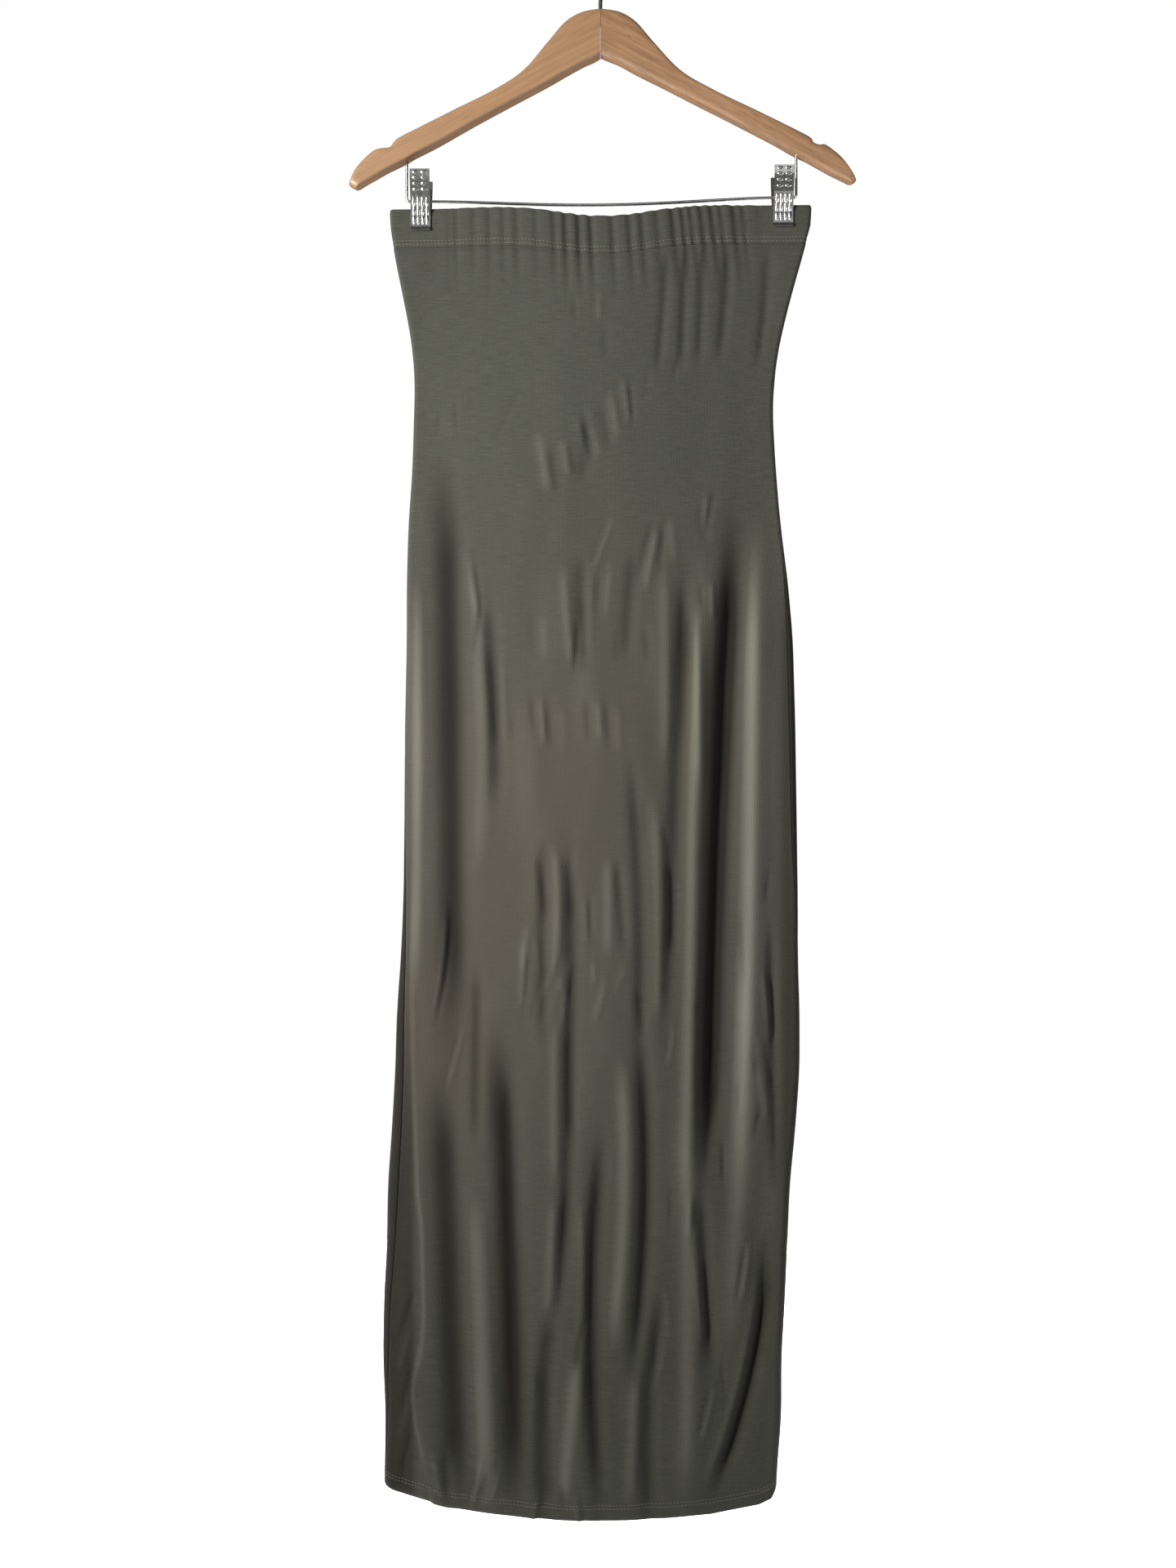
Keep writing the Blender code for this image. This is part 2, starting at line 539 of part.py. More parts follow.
def add_jaw(name, centre, face, steel):
    """A pressed steel jaw with two ears, which turn on the bar."""
    rings = []
    for across in (-8.5, -4.2, 0.0, 4.2, 8.5):
        x = centre[0] + across
        rings.append([(x, depth, centre[1] + height) for depth, height in jaw_profile(face)])
    jaw = lofted(name, rings, steel, smooth_faces=False)
    ear_at = 7.2 if face == FRONT else 5.9
    for place, side in (("left", -1.0), ("right", 1.0)):
        x = centre[0] + side * ear_at
        ear = add_ear(f"{name}_{place}_ear", x, centre[1], face, steel)
        boolean(jaw, ear, "UNION")
    hole = add_cutter(f"{name}_hole", (centre[0], 0.0, centre[1]), BAR_RADIUS + SEAM_GAP, 24.0, "X")
    boolean(jaw, hole, "DIFFERENCE")
    return jaw


def add_ear(name, x, z, face, steel):
    """A flange from the jaw to a rounded end about the bar."""
    outline = [(face * 8.4, 4.6), (face * 7.2, -3.2)]
    for angle in np.radians((-100, -60, -20, 20, 60, 100)):
        outline.append((-face * 3.2 * math.cos(angle), 3.2 * math.sin(angle)))
    rings = [[(x + side * 0.45, depth, z + height) for depth, height in outline] for side in (-1.0, 1.0)]
    ear = lofted(name, rings, steel, smooth_faces=False)
    ear.hide_render = True
    ear.display_type = "WIRE"
    return ear


def add_spring(name, centre, steel):
    """A coil round the bar between the ears, with a leg behind each jaw."""
    coil, wire, turns = 2.2, 0.5, 3.25
    path = [(centre[0] - 3.2, -10.1, centre[1] + 15.0), (centre[0] - 3.2, -9.4, centre[1] + 12.5)]
    path += [(centre[0] - 3.2, -5.6, centre[1] + 4.8)]
    start = 1.15 * math.pi
    for step in range(int(turns * 9) + 1):
        share = step / (turns * 9)
        angle = start - share * turns * 2.0 * math.pi
        across = centre[0] - 2.9 + 5.8 * share
        path.append((across, coil * math.cos(angle - 0.5), centre[1] + coil * math.sin(angle - 0.5)))
    path += [(centre[0] + 3.2, 5.6, centre[1] + 4.8), (centre[0] + 3.2, 9.4, centre[1] + 12.5)]
    path += [(centre[0] + 3.2, 10.1, centre[1] + 15.0)]
    return swept_tube(name, path, wire, 6, steel)


def add_clip(place, steel):
    centre = CLIP_CENTRES[place]
    add_jaw(f"{place}_clip_front_jaw", centre, FRONT, steel)
    add_jaw(f"{place}_clip_back_jaw", centre, BACK, steel)
    add_spring(f"{place}_clip_spring", centre, steel)


def main():
    for old in list(bpy.data.objects):
        bpy.data.objects.remove(old, do_unlink=True)
    jersey = principled("jersey", (0.098, 0.102, 0.080), 0.9)
    light_wood = principled("light_wood", (0.58, 0.36, 0.20), 0.5)
    brown_wood = principled("brown_wood", (0.48, 0.28, 0.16), 0.5)
    steel = principled("bright_steel", (0.62, 0.62, 0.61), 0.28, 1.0)

    add_panel("front_panel", FRONT, panel_columns(), panel_rows(28), jersey)
    add_panel("back_panel", BACK, np.linspace(0.0, 1.0, 37), panel_rows(28), jersey)
    add_casing("casing_front", FRONT, np.linspace(0.0, 1.0, 73), jersey)
    add_casing("casing_back", BACK, np.linspace(0.0, 1.0, 49), jersey)

    left_arm = add_arm("left_arm", LEFT_ARM, 1.2, light_wood)
    right_arm = add_arm("right_arm", RIGHT_ARM, 3.0, brown_wood)
    stem_hole = add_cutter("stem_hole", (ARM_JOINT_X, 0.0, -66.0), HOOK_RADIUS + SEAM_GAP, 19.0, "Z")
    boolean(left_arm, stem_hole, "DIFFERENCE")
    boolean(right_arm, stem_hole, "DIFFERENCE")
    left_hole = add_cutter("left_leg_hole", (LEG_X[0], 0.0, -192.0), BAR_RADIUS + SEAM_GAP, 26.6, "Z")
    boolean(left_arm, left_hole, "DIFFERENCE")
    right_hole = add_cutter("right_leg_hole", (LEG_X[1], 0.0, -190.0), BAR_RADIUS + SEAM_GAP, 26.6, "Z")
    boolean(right_arm, right_hole, "DIFFERENCE")

    add_hook(steel)
    add_bar(steel)
    add_clip("left", steel)
    add_clip("right", steel)


main()
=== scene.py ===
# %% [markdown]
# # Column dress in olive jersey, on a clip hanger
#
# The dress is a tube of thin jersey with an elastic casing at the top. Two steel clips hold it
# flat under a wooden hanger. The solids come from the frame, and this lesson gives each of them
# the surface that it has in daylight. Lengths are in millimetres until a mesh is made.

import math
from collections import namedtuple

import bmesh
import bpy
import numpy as np
from mathutils import Matrix, Vector


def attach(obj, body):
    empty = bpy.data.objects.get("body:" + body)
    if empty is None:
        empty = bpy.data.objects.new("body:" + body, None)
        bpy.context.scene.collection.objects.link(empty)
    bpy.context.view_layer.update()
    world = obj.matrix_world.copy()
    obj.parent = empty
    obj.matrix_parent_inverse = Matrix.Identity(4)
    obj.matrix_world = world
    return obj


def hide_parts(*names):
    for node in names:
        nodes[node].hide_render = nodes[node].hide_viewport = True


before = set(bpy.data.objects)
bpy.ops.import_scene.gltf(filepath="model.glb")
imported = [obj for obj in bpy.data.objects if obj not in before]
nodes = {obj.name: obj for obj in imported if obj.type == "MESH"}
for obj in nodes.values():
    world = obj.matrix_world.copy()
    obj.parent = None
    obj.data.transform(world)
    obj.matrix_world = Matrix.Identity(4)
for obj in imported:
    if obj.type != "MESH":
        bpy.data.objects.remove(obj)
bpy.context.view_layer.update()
MM = 0.001
print("solids:", sorted(nodes))

# %% [markdown]
# ## Values that the cloth is worked out from
#
# A jersey tube that hangs from two clips has a flat outline that is easy to measure with a ruler,
# so the form is kept as a table of sections: the two edges, how far the front and the back swell,
# and where the side seams lie. "Drop" is the distance below the top edge.

# %% Sections of the tube
TOP_Z = -233.6
CASING_DEEP = 34.0
HEM_DROP = 1108.0
HEM_DEEP = 13.0
JERSEY = 1.3
CASING_WALL = 3.0
SEAM_GAP = 0.3
FRONT, BACK = -1, 1

Section = namedtuple(
    "Section", "drop left right front back left_round right_round left_seam right_seam"
)


def table(kind, *rows):
    """Rows of plain numbers as rows with names."""
    return tuple(kind(*row) for row in rows)


SECTIONS = table(
    Section,
    (0, -185.6, 182, 10, 8, 3.6, 3.6, 0, 0),
    (19, -184.1, 180.6, 10, 8, 3.6, 3.6, 0, 0),
    (36, -182, 176.3, 11, 8, 3.6, 3.6, 0, 0),
    (53, -178.5, 171.4, 12, 9, 3.8, 3.8, 0, 0),
    (78, -173.5, 164.2, 12, 9, 4, 4, 0, 0),
    (103, -168.5, 157.8, 13, 9, 4.2, 4.2, 0, 0),
    (128, -165, 152.2, 13, 10, 4.5, 4.5, 0, 0),
    (153, -163.5, 149.3, 14, 11, 4.8, 4.8, 0, 0),
    (178, -164.2, 147.9, 15, 12, 5, 5, 0, 0),
    (228, -165.7, 150.7, 17, 13, 5, 5, 0, 0),
    (277, -169.2, 155, 18, 14, 5, 5, 0, 0.5),
    (327, -170.6, 161.4, 19, 15, 5.2, 5.6, 0, 3.5),
    (377, -170.6, 165.7, 20, 16, 5.4, 6.2, 0, 5.6),
    (451, -172.1, 167.8, 20, 16, 5.6, 6.5, 0, 6),
    (551, -172.8, 169.2, 20, 16, 5.8, 6.5, 1.5, 5.2),
    (601, -173.5, 169.9, 20, 16, 6, 6.5, 3, 2.6),
    (650, -175.6, 169.9, 20, 17, 7, 6.5, 5, 0.6),
    (700, -179.2, 171.4, 20, 17, 8.5, 6.5, 7.5, 0),
    (750, -180.6, 171.4, 20, 18, 9.5, 6.8, 8.8, 0),
    (800, -183.4, 167.8, 20, 18, 10.5, 7.2, 9.8, 0),
    (850, -187, 162.8, 21, 19, 11, 8, 10.8, 0),
    (900, -187.7, 160.7, 21, 20, 10, 8.5, 8.4, 0),
    (949, -190.5, 158.6, 22, 20, 9.5, 9, 7, 0),
    (999, -191.3, 155.7, 22, 21, 9, 9.5, 6, 0),
    (1049, -189.1, 155.7, 22, 22, 8.5, 9.5, 3.5, 0),
    (1091, -189.8, 152.2, 22, 22, 8, 9, 1.5, 0),
    (1110, -190, 151, 22, 22, 8, 9, 1, 0),
)


def smooth(value):
    """0 below 0, 1 above 1, with a soft start and end."""
    held = np.clip(value, 0.0, 1.0)
    return held * held * (3.0 - 2.0 * held)


def section_value(column, drop):
    """A section's value at any drop, rounded over the table's corners."""
    drops = [row.drop for row in SECTIONS]
    values = [getattr(row, column) for row in SECTIONS]
    taps = [np.interp(drop + step, drops, values) for step in (-14.0, -7.0, 0.0, 7.0, 14.0)]
    soft = sum(taps) / len(taps)
    return np.where(drop < 20.0, np.interp(drop, drops, values), soft)


print("sections:", len(SECTIONS))

# %% [markdown]
# ## The folds
#
# Fine jersey falls in long soft troughs with rounder ridges between them, and the places where they
# start and fade matter more than their number. Each row is one fold through three points, each
# given as a place across and a drop. A depth below 0 is a ridge. The broad rows are the solids'
# own folds. The fine rows are the sharper creases inside and beside them, which is what makes
# cloth look thin.

# %% Fold tables
FADE_SHARE = 0.22
Fold = namedtuple("Fold", "top_x top mid_x mid low_x low half_width depth")
FRONT_BROAD = table(
    Fold,
    (-135.5, 190, -130.6, 459, -126.9, 760, 12, 6.2),
    (117, 240, 102.5, 494, 90, 865, 10.5, 8.5),
    (133, 240, 130, 494, 121, 900, 10, -3),
    (72.5, 290, 63.8, 501, 54, 740, 7, 3.2),
    (86, 280, 79, 501, 74, 900, 6.5, -2.4),
    (-98.7, 330, -92.3, 424, -90.8, 530, 6, 3),
    (23.4, 470, 32.4, 606, 31, 740, 6, 2.6),
    (30, 690, 37, 840, 22, 1010, 7, 4),
    (-27.4, 530, -26.7, 724, -35.7, 960, 6, 3.4),
    (-39.2, 930, -50.3, 1008, -47.5, 1120, 7, 3.6),
    (-89.3, 690, -80.2, 876, -73.9, 1130, 11, 6.5),
    (-137.3, 740, -129.5, 911, -122.5, 1130, 11, 5.5),
    (-106.7, 650, -107.4, 738, -108, 815, 5, 2.4),
    (2, 780, -8.5, 945, 0.5, 1125, 7.5, 4),
    (-49, 540, -50.4, 633, -49.7, 730, 5, 2.2),
    (53.9, 915, 40.7, 1001, 42, 1120, 7, 3.4),
    (145.9, 610, 147.8, 738, 152.6, 860, 4.5, 2.6),
    (144, 880, 134.5, 970, 90, 1104, 8, 4.6),
    (83.1, 840, 88.6, 911, 93.5, 1000, 6, 3),
    (-11.4, 180, -14.2, 214, -18.4, 245, 6, 1.6),
    (-17.7, 300, -17.7, 355, -17, 410, 6, 1.8),
    (27.1, 300, 23.5, 347, 18.6, 400, 6, 1.8),
    (56.3, 30, 52.7, 86, 47, 150, 4, 1.5),
    (71.9, 30, 70.3, 86, 67.4, 150, 4, 1.8),
    (87.4, 30, 85.8, 86, 82.8, 146, 4, 1.5),
    (109.3, 30, 106.3, 86, 100.4, 140, 4.5, 1.8),
    (144.5, 30, 141.5, 86, 134.2, 146, 4.5, 1.6),
)
FRONT_FINE = table(
    Fold,
    # Soft ridges between the long troughs
    (-116, 300, -103, 450, -112, 600, 8, -1.2),
    (-161, 300, -161, 500, -161, 700, 6, -2.6),
    (52, 300, 54.5, 400, 53, 500, 5.5, -1.2),
    (132, 280, 130, 520, 126, 780, 8, -1.8),
    (43, 500, 48, 600, 46, 720, 5.5, -1.5),
    (79, 340, 82, 420, 83, 520, 4.4, -1.3),
    (122, 620, 120, 790, 112, 990, 9, -1.8),
    (68, 760, 75, 920, 70, 1110, 8, -2),
    (-112, 830, -103, 950, -100, 1110, 9, -2),
    (15, 720, 19.5, 860, 6, 985, 6.5, -2.2),
    (-40, 690, -41, 760, -40, 850, 5, -1.4),
    (-42, 846, -44, 900, -47, 950, 4, -1.2),
    (-21, 846, -17, 900, -18.5, 980, 5, -1.3),
    (-18, 970, -26, 1030, -33, 1100, 7, -2.4),
    (29, 980, 26, 1045, 22, 1100, 6, -1.3),
    # Cores of the long troughs
    (110, 290, 98.5, 500, 89, 840, 4.6, 1.6),
    (67, 322, 70.5, 400, 69, 480, 4.6, 1.4),
    (-97, 380, -93.5, 424, -91, 474, 4.6, 1.6),
    (-28, 700, -28.5, 755, -25.5, 812, 4, 1.8),
    (-29.5, 836, -33.5, 885, -36.5, 944, 3.6, 1.6),
    (3, 790, -10, 955, 1, 1100, 4.6, 1.6),
    (31, 720, 37, 850, 24, 1000, 3.8, 1.4),
    (-83, 740, -80, 880, -74, 1040, 5, 1.2),
    (98, 750, 92, 792, 89, 836, 4, 1.4),
    (-50, 976, -46, 1040, -44, 1100, 5, 1.4),
    (143, 915, 132, 985, 93, 1100, 3.4, 1.6),
    (136, 905, 122, 985, 84, 1090, 4.6, -1.4),
    # Ripples across the waist: a ridge and the trough on its right, one after another
    (16, 148, 20, 170, 24, 192, 3.4, -0.9),
    (23, 152, 24.8, 172, 26, 196, 2.6, 0.9),
    (6.5, 160, 10, 182, 14, 206, 4, -1),
    (-1, 172, 3, 192, 7, 216, 3.6, 0.9),
    (-12.5, 176, -7.5, 200, -2, 224, 3.6, -1.1),
    (-18, 182, -12, 206, -8, 228, 3, 1),
    (-21, 186, -17.5, 206, -13.5, 226, 3.4, -0.9),
    (-28, 212, -25, 224, -22.5, 238, 3.4, 0.7),
    (-35, 204, -32, 220, -29.5, 240, 3.8, -0.9),
    (-44, 212, -40, 234, -37, 256, 4.2, 1),
    (-55, 198, -50, 226, -46, 254, 4.4, -1.1),
    # Slight creases above the hip
    (-68, 156, -80, 180, -95, 212, 2.4, 0.5),
    (-128, 168, -126.5, 184, -125, 202, 2.2, 0.5),
    (-140, 176, -141.5, 186, -143, 198, 2.2, 0.4),
    (66, 132, 63, 142, 61, 154, 2.4, 0.6),
    (41, 140, 38.5, 152, 36, 166, 2.6, 0.5),
    (-25, 76, -24, 86, -23, 97, 2.6, 0.8),
    (-3.5, 70, -3, 82, -3, 94, 2.6, -0.8),
    (2, 100, 2.5, 116, 3, 134, 3.6, 0.6),
    # Tucks at the hip
    (10, 272, 3, 288, -8.5, 320, 3, -1),
    (6, 276, -1.5, 292, -11, 318, 2.6, 0.8),
    (44, 276, 37, 300, 29, 330, 2.8, 1),
    (48, 280, 42, 306, 36.5, 338, 3.6, -1.2),
    (53, 274, 51, 296, 49, 322, 3.4, 0.9),
    (58, 272, 60, 292, 62, 312, 4, -0.8),
    (97, 246, 93, 264, 86, 294, 3, 0.9),
    (90, 252, 88.5, 268, 86, 284, 2.8, -0.7),
    (84, 262, 84.5, 276, 85.5, 290, 3, 0.7),
    # Below the hip, left of the middle
    (-34, 312, -31, 352, -26.5, 404, 4, -1.1),
    (-22.5, 360, -22, 384, -25, 408, 2.4, 1.2),
    (-17, 340, -15.5, 372, -15, 400, 4, 1),
    (-11, 312, -11, 350, -12, 392, 3.8, -1),
    (-2, 318, -3, 336, -4, 356, 3.6, 0.6),
    (7, 312, 5, 336, 2, 360, 3.6, -0.8),
    (-50, 356, -49.5, 374, -48, 396, 4, -0.7),
    (-62, 352, -60, 368, -59, 392, 3.6, 0.5),
    (12, 366, 12, 382, 12, 396, 3.2, 0.5),
    (36, 368, 37.5, 382, 39.5, 396, 3.2, 0.8),
    (-119, 296, -113, 328, -106, 360, 4.6, -1.3),
    (-110, 310, -106, 336, -104.5, 362, 2.6, 1),
    (-103, 342, -107, 366, -112, 392, 2.8, 0.8),
    (-86.5, 388, -85, 428, -84, 472, 3, -1.1),
    (74, 352, 74.5, 380, 74.5, 412, 2.4, 1),
    (84, 328, 84.5, 340, 85, 352, 2.8, 0.8),
    (93, 326, 94, 342, 94.5, 362, 2.6, -1),
    # A row of short ones halfway down
    (-76, 440, -76.5, 452, -77, 464, 2.2, 0.6),
    (-61, 426, -59.5, 441, -57.5, 456, 2.6, 0.9),
    (-54, 424, -51.5, 446, -50.5, 470, 2.8, -1.2),
    (-46, 430, -44.5, 450, -43, 468, 3, 0.9),
    (-35, 432, -34, 454, -33.5, 476, 3.6, -0.6),
    (-14, 428, -12.5, 446, -11.5, 466, 3, 0.9),
    (-4.5, 430, -3, 446, -2, 466, 3, -0.9),
    (3.5, 430, 5, 450, 6.5, 472, 3.2, 0.8),
    (13, 434, 13.5, 452, 14, 476, 3.4, -0.7),
    # Over the knee
    (36, 512, 36.5, 530, 37.5, 550, 3, 0.7),
    (52, 536, 55, 552, 57.5, 566, 3, 0.7),
    (56, 562, 59.5, 608, 58.5, 652, 4, 1.7),
    (-55, 560, -50.5, 590, -48, 622, 3.6, 1.4),
    (-42, 548, -38.5, 600, -41, 660, 4.6, -1.6),
    (-30, 560, -27.5, 590, -26, 622, 4, 1.4),
    (-20, 552, -22, 566, -24.5, 580, 3, -0.6),
    (-15.5, 596, -15, 616, -14, 640, 2.8, -0.7),
    (-11, 592, -10.5, 614, -9.5, 640, 2.6, 0.9),
    (5, 560, 5.5, 604, 5, 652, 4.6, -1.3),
    (13, 564, 16, 606, 19.5, 648, 4, 1.5),
    (-8, 650, -7.5, 662, -7.5, 674, 2.2, -0.9),
    (3, 666, -1.5, 684, -8, 706, 2.8, -0.9),
    (20, 654, 16, 664, 11, 676, 2.4, -0.6),
    (-63, 618, -66, 640, -68, 664, 3.2, -0.9),
    (-69, 630, -67.5, 664, -70, 700, 3.4, -0.9),
    (-65, 646, -65, 672, -70.5, 702, 2.6, 0.9),
    (-57, 632, -55, 650, -53.5, 668, 3, -0.7),
    (-39, 642, -47, 668, -60, 694, 3, -1.3),
    (-43, 650, -51.5, 674, -63, 700, 2.6, 1.1),
    (-32, 660, -42, 686, -56, 714, 3, -1.2),
    (-36, 672, -46, 692, -56, 710, 2.4, 0.9),
    (-25, 646, -31, 678, -34, 712, 3.6, -1.2),
    (-22, 648, -26.5, 668, -28, 690, 2.6, 0.8),
    (-132, 596, -134, 652, -145, 712, 2.6, 1.2),
    (-136, 610, -138, 656, -147, 706, 2.8, -0.9),
    (-118, 704, -124.5, 732, -134, 764, 2.8, -1.1),
    (-122.5, 712, -129, 736, -137, 762, 2.4, 0.9),
    (30, 676, 33, 696, 34, 716, 3.6, 1.5),
    (61, 706, 58, 724, 54, 742, 2.6, -1),
    (58, 710, 56, 724, 53, 738, 2.2, 0.9),
    (82, 688, 81, 693, 80, 698, 1.8, 0.8),
    (118.5, 610, 120.5, 642, 121.5, 674, 2.2, 0.6),
    (145, 574, 142.5, 588, 140, 604, 2.6, 0.8),
    (138, 662, 142.5, 696, 144.5, 730, 3, -0.9),
    (141, 658, 147, 692, 149, 730, 3, 1.2),
    (139, 722, 143.5, 744, 147, 770, 3, 1),
    (133, 740, 138, 764, 141, 790, 3.2, -0.8),
    (128, 720, 131, 738, 133, 756, 3, 0.6),
    (116.5, 756, 116.5, 770, 116, 784, 2, 0.6),
    (137, 776, 134, 790, 130, 806, 3, 0.9),
    # The lower third
    (103, 806, 103.5, 824, 104, 842, 2.2, 1.6),
    (-16, 944, -18.5, 962, -25, 984, 2.6, 1),
    (47, 956, 45, 974, 43, 992, 2.4, 1),
    (54, 966, 49, 988, 42, 1010, 2.6, -1),
    (53, 922, 55, 942, 57, 962, 3, -0.8),
    (57, 842, 57.5, 858, 57.5, 874, 2.4, 0.6),
    (75, 848, 74, 868, 73, 888, 2.4, -0.7),
    (78.5, 856, 78, 868, 78, 880, 2.2, 0.7),
    (79, 896, 82.5, 934, 86, 972, 4, -1),
    (84, 900, 88.5, 942, 92, 980, 3.4, 1.6),
    (126, 890, 123.5, 914, 119, 938, 3, -0.9),
    (122, 894, 119, 916, 114, 940, 2.8, 1.1),
    (102, 980, 103.5, 995, 105, 1010, 2.2, 0.7),
    (96.5, 1000, 91, 1022, 84, 1046, 2.8, -1.1),
    (93, 1004, 87.5, 1022, 81, 1042, 2.4, 0.9),
    (-58, 984, -55, 995, -52, 1006, 2.6, 0.8),
    # Wrinkles in the cloth beside the roll
    (-160, 930, -168, 952, -177, 976, 2.6, 1),
    (-163, 962, -170, 984, -178, 1008, 2.6, -0.9),
    (-162, 990, -168, 1012, -175, 1036, 2.6, 0.9),
    (-164, 1022, -170, 1041, -178, 1062, 2.6, -0.9),
    (-163, 1046, -168, 1064, -174, 1084, 2.8, 1),
    (-172, 1074, -173, 1089, -175, 1104, 2.6, 0.9),
    # Wrinkles that the turned hem holds
    (-152, 1066, -149, 1085, -145, 1106, 3.2, 1.5),
    (-146, 1064, -142, 1084, -138, 1104, 3.4, -1.2),
    (-136, 1058, -134, 1081, -132, 1106, 3, 1.2),
    (-127, 1062, -126, 1085, -124, 1108, 4, -1),
    (-103, 1060, -108, 1084, -113, 1108, 2.8, -1.2),
    (-107, 1070, -111.5, 1088, -116, 1106, 2.4, 1),
    (-98, 1074, -103, 1089, -108, 1104, 2.4, 0.9),
    (-84, 1066, -91, 1083, -97, 1100, 2.6, -0.9),
    (-54, 1086, -57, 1099, -61, 1112, 2.6, -1),
    (-50, 1090, -53, 1101, -56, 1112, 2.2, 0.8),
    (-36, 1076, -34, 1088, -35, 1100, 2.6, 0.9),
    (-24, 1088, -22, 1100, -20, 1112, 2.8, -0.7),
    (-19, 1088, -16.5, 1100, -14, 1112, 2.6, 0.9),
)
BACK_BROAD = table(
    Fold,
    (-118, 170, -112, 470, -120, 820, 9, 5),
    (108, 210, 114, 500, 104, 900, 9, 5.5),
    (-62, 300, -70, 560, -60, 860, 8, 3.6),
    (48, 330, 56, 600, 60, 900, 8, 3.8),
    (-6, 480, -2, 760, -10, 1120, 8, 4.4),
    (-140, 760, -134, 930, -126, 1130, 9, 4.8),
    (-84, 820, -78, 960, -84, 1130, 9, 5.2),
    (122, 830, 118, 980, 112, 1130, 9, 5),
    (34, 800, 42, 960, 38, 1130, 8, 3.8),
    (-30, 230, -38, 300, -44, 370, 6, 1.8),
    (26, 210, 20, 280, 8, 350, 6, 1.8),
    (-96, 30, -98, 86, -94, 150, 4.5, 1.6),
    (-48, 30, -46, 86, -40, 150, 4.5, 1.6),
    (40, 30, 38, 86, 32, 150, 4.5, 1.6),
    (98, 30, 96, 86, 90, 150, 4.5, 1.6),
)
BACK_FINE = table(
    Fold,
    (-116, 220, -112.5, 480, -119, 780, 3.6, 1.5),
    (109, 250, 113, 510, 105, 860, 3.6, 1.8),
    (-66, 350, -69, 560, -62, 820, 3.4, 1.2),
    (50, 380, 55.5, 600, 60, 860, 3.4, 1.2),
    (-92, 300, -90, 500, -92, 760, 7, -1.8),
    (82, 300, 86, 520, 84, 820, 7, -1.8),
    (-34, 420, -30, 620, -34, 900, 8, -1.8),
    (24, 420, 26, 640, 20, 940, 8, -1.8),
    (-14, 160, -16, 190, -20, 226, 5, 1.2),
    (4, 180, 1, 206, -4, 232, 4.4, 1),
    (44, 200, 40, 232, 34, 262, 4.8, 1.2),
    (-104, 900, -100, 1000, -104, 1120, 8, -2),
    (92, 900, 90, 1010, 94, 1120, 8, -2),
    (-40, 940, -42, 1020, -36, 1120, 6, 2),
    (76, 960, 74, 1030, 78, 1120, 5, 1.6),
    (140, 640, 142, 760, 138, 880, 5, 1.8),
    (-152, 420, -150, 560, -154, 700, 5, 1.4),
    (12, 700, 14, 780, 8, 880, 4, 1.2),
    (-52, 620, -50, 700, -54, 800, 4, 1),
)


def fold_heights(folds, x, drop):
    """How far outwards the folds carry the cloth: negative in a trough."""
    height = np.zeros_like(x)
    for fold in folds:
        top, mid, low = fold.top, fold.mid, fold.low
        near = (drop - mid) * (drop - low) / ((top - mid) * (top - low))
        middle = (drop - top) * (drop - low) / ((mid - top) * (mid - low))
        far = (drop - top) * (drop - mid) / ((low - top) * (low - mid))
        centre = near * fold.top_x + middle * fold.mid_x + far * fold.low_x
        run = FADE_SHARE * (low - top)
        fade = smooth((drop - top) / run) * smooth((low - drop) / run)
        height -= fold.depth * fade * np.exp(-(((x - centre) / fold.half_width) ** 2))
    return height


print("folds:", len(FRONT_BROAD + FRONT_FINE + BACK_BROAD + BACK_FINE))

# %% [markdown]
# ## The elastic's gathers
#
# Elastic shortens the casing, so the jersey stands in small upright gathers. They are close on the
# right and in the middle, and nearly pulled flat on the left, so their places are a list of what
# shows and not an even comb.

# %% Gathers
Gather = namedtuple("Gather", "x half_width depth lean")
FRONT_GATHERS = table(
    Gather,
    (-133.8, 2.8, 1, 0.5),
    (-127.5, 2.6, 1.1, 0.5),
    (-112, 3.2, 0.8, 0.6),
    (-98.6, 3.2, 1.1, 0.8),
    (-86, 3, 0.9, 0.8),
    (-74.7, 3.4, 1.2, 1),
    (-58, 3, 0.8, 1),
    (-42.3, 3, 1.3, 1),
    (-32.5, 2.8, 1.8, 1.2),
    (-21.2, 2.8, 2.1, 1.5),
    (-10.7, 2.8, 1.9, 1.8),
    (7.6, 3, 1.4, 2),
    (22.4, 3, 1.5, 2.4),
    (32.9, 3, 1.5, 2.8),
    (46, 3.2, 1, 3),
    (59.7, 3, 2, 3.6),
    (68.1, 2.6, 1.8, 4),
    (75.1, 2.6, 1.6, 4.4),
    (84.3, 2.8, 1.8, 4.6),
    (93.4, 2.8, 1.9, 4.6),
    (101.2, 2.6, 1.4, 4.4),
    (113.1, 3, 1.8, 4.2),
    (120.9, 2.8, 1.3, 4),
    (135.7, 3, 1.6, 3.6),
)
BACK_GATHERS = tuple(
    Gather(
        -135.0 + 12.1 * place + 3.1 * math.sin(2.3 * place),
        3.2,
        1.2 + 0.5 * math.sin(1.7 * place),
        1.5,
    )
    for place in range(23)
)


def gather_heights(gathers, x, drop):
    """The elastic's small troughs, fading out below the casing and under the clips."""
    height = np.zeros_like(x)
    for gather in gathers:
        centre = gather.x + gather.lean * drop / CASING_DEEP
        height -= gather.depth * np.exp(-(((x - centre) / gather.half_width) ** 2))
    between_clips = smooth((x + 146.0) / 26.0) * smooth((145.0 - x) / 26.0)
    return height * between_clips * (1.0 - smooth((drop - 25.0) / 60.0))


print("gathers on the front:", len(FRONT_GATHERS))

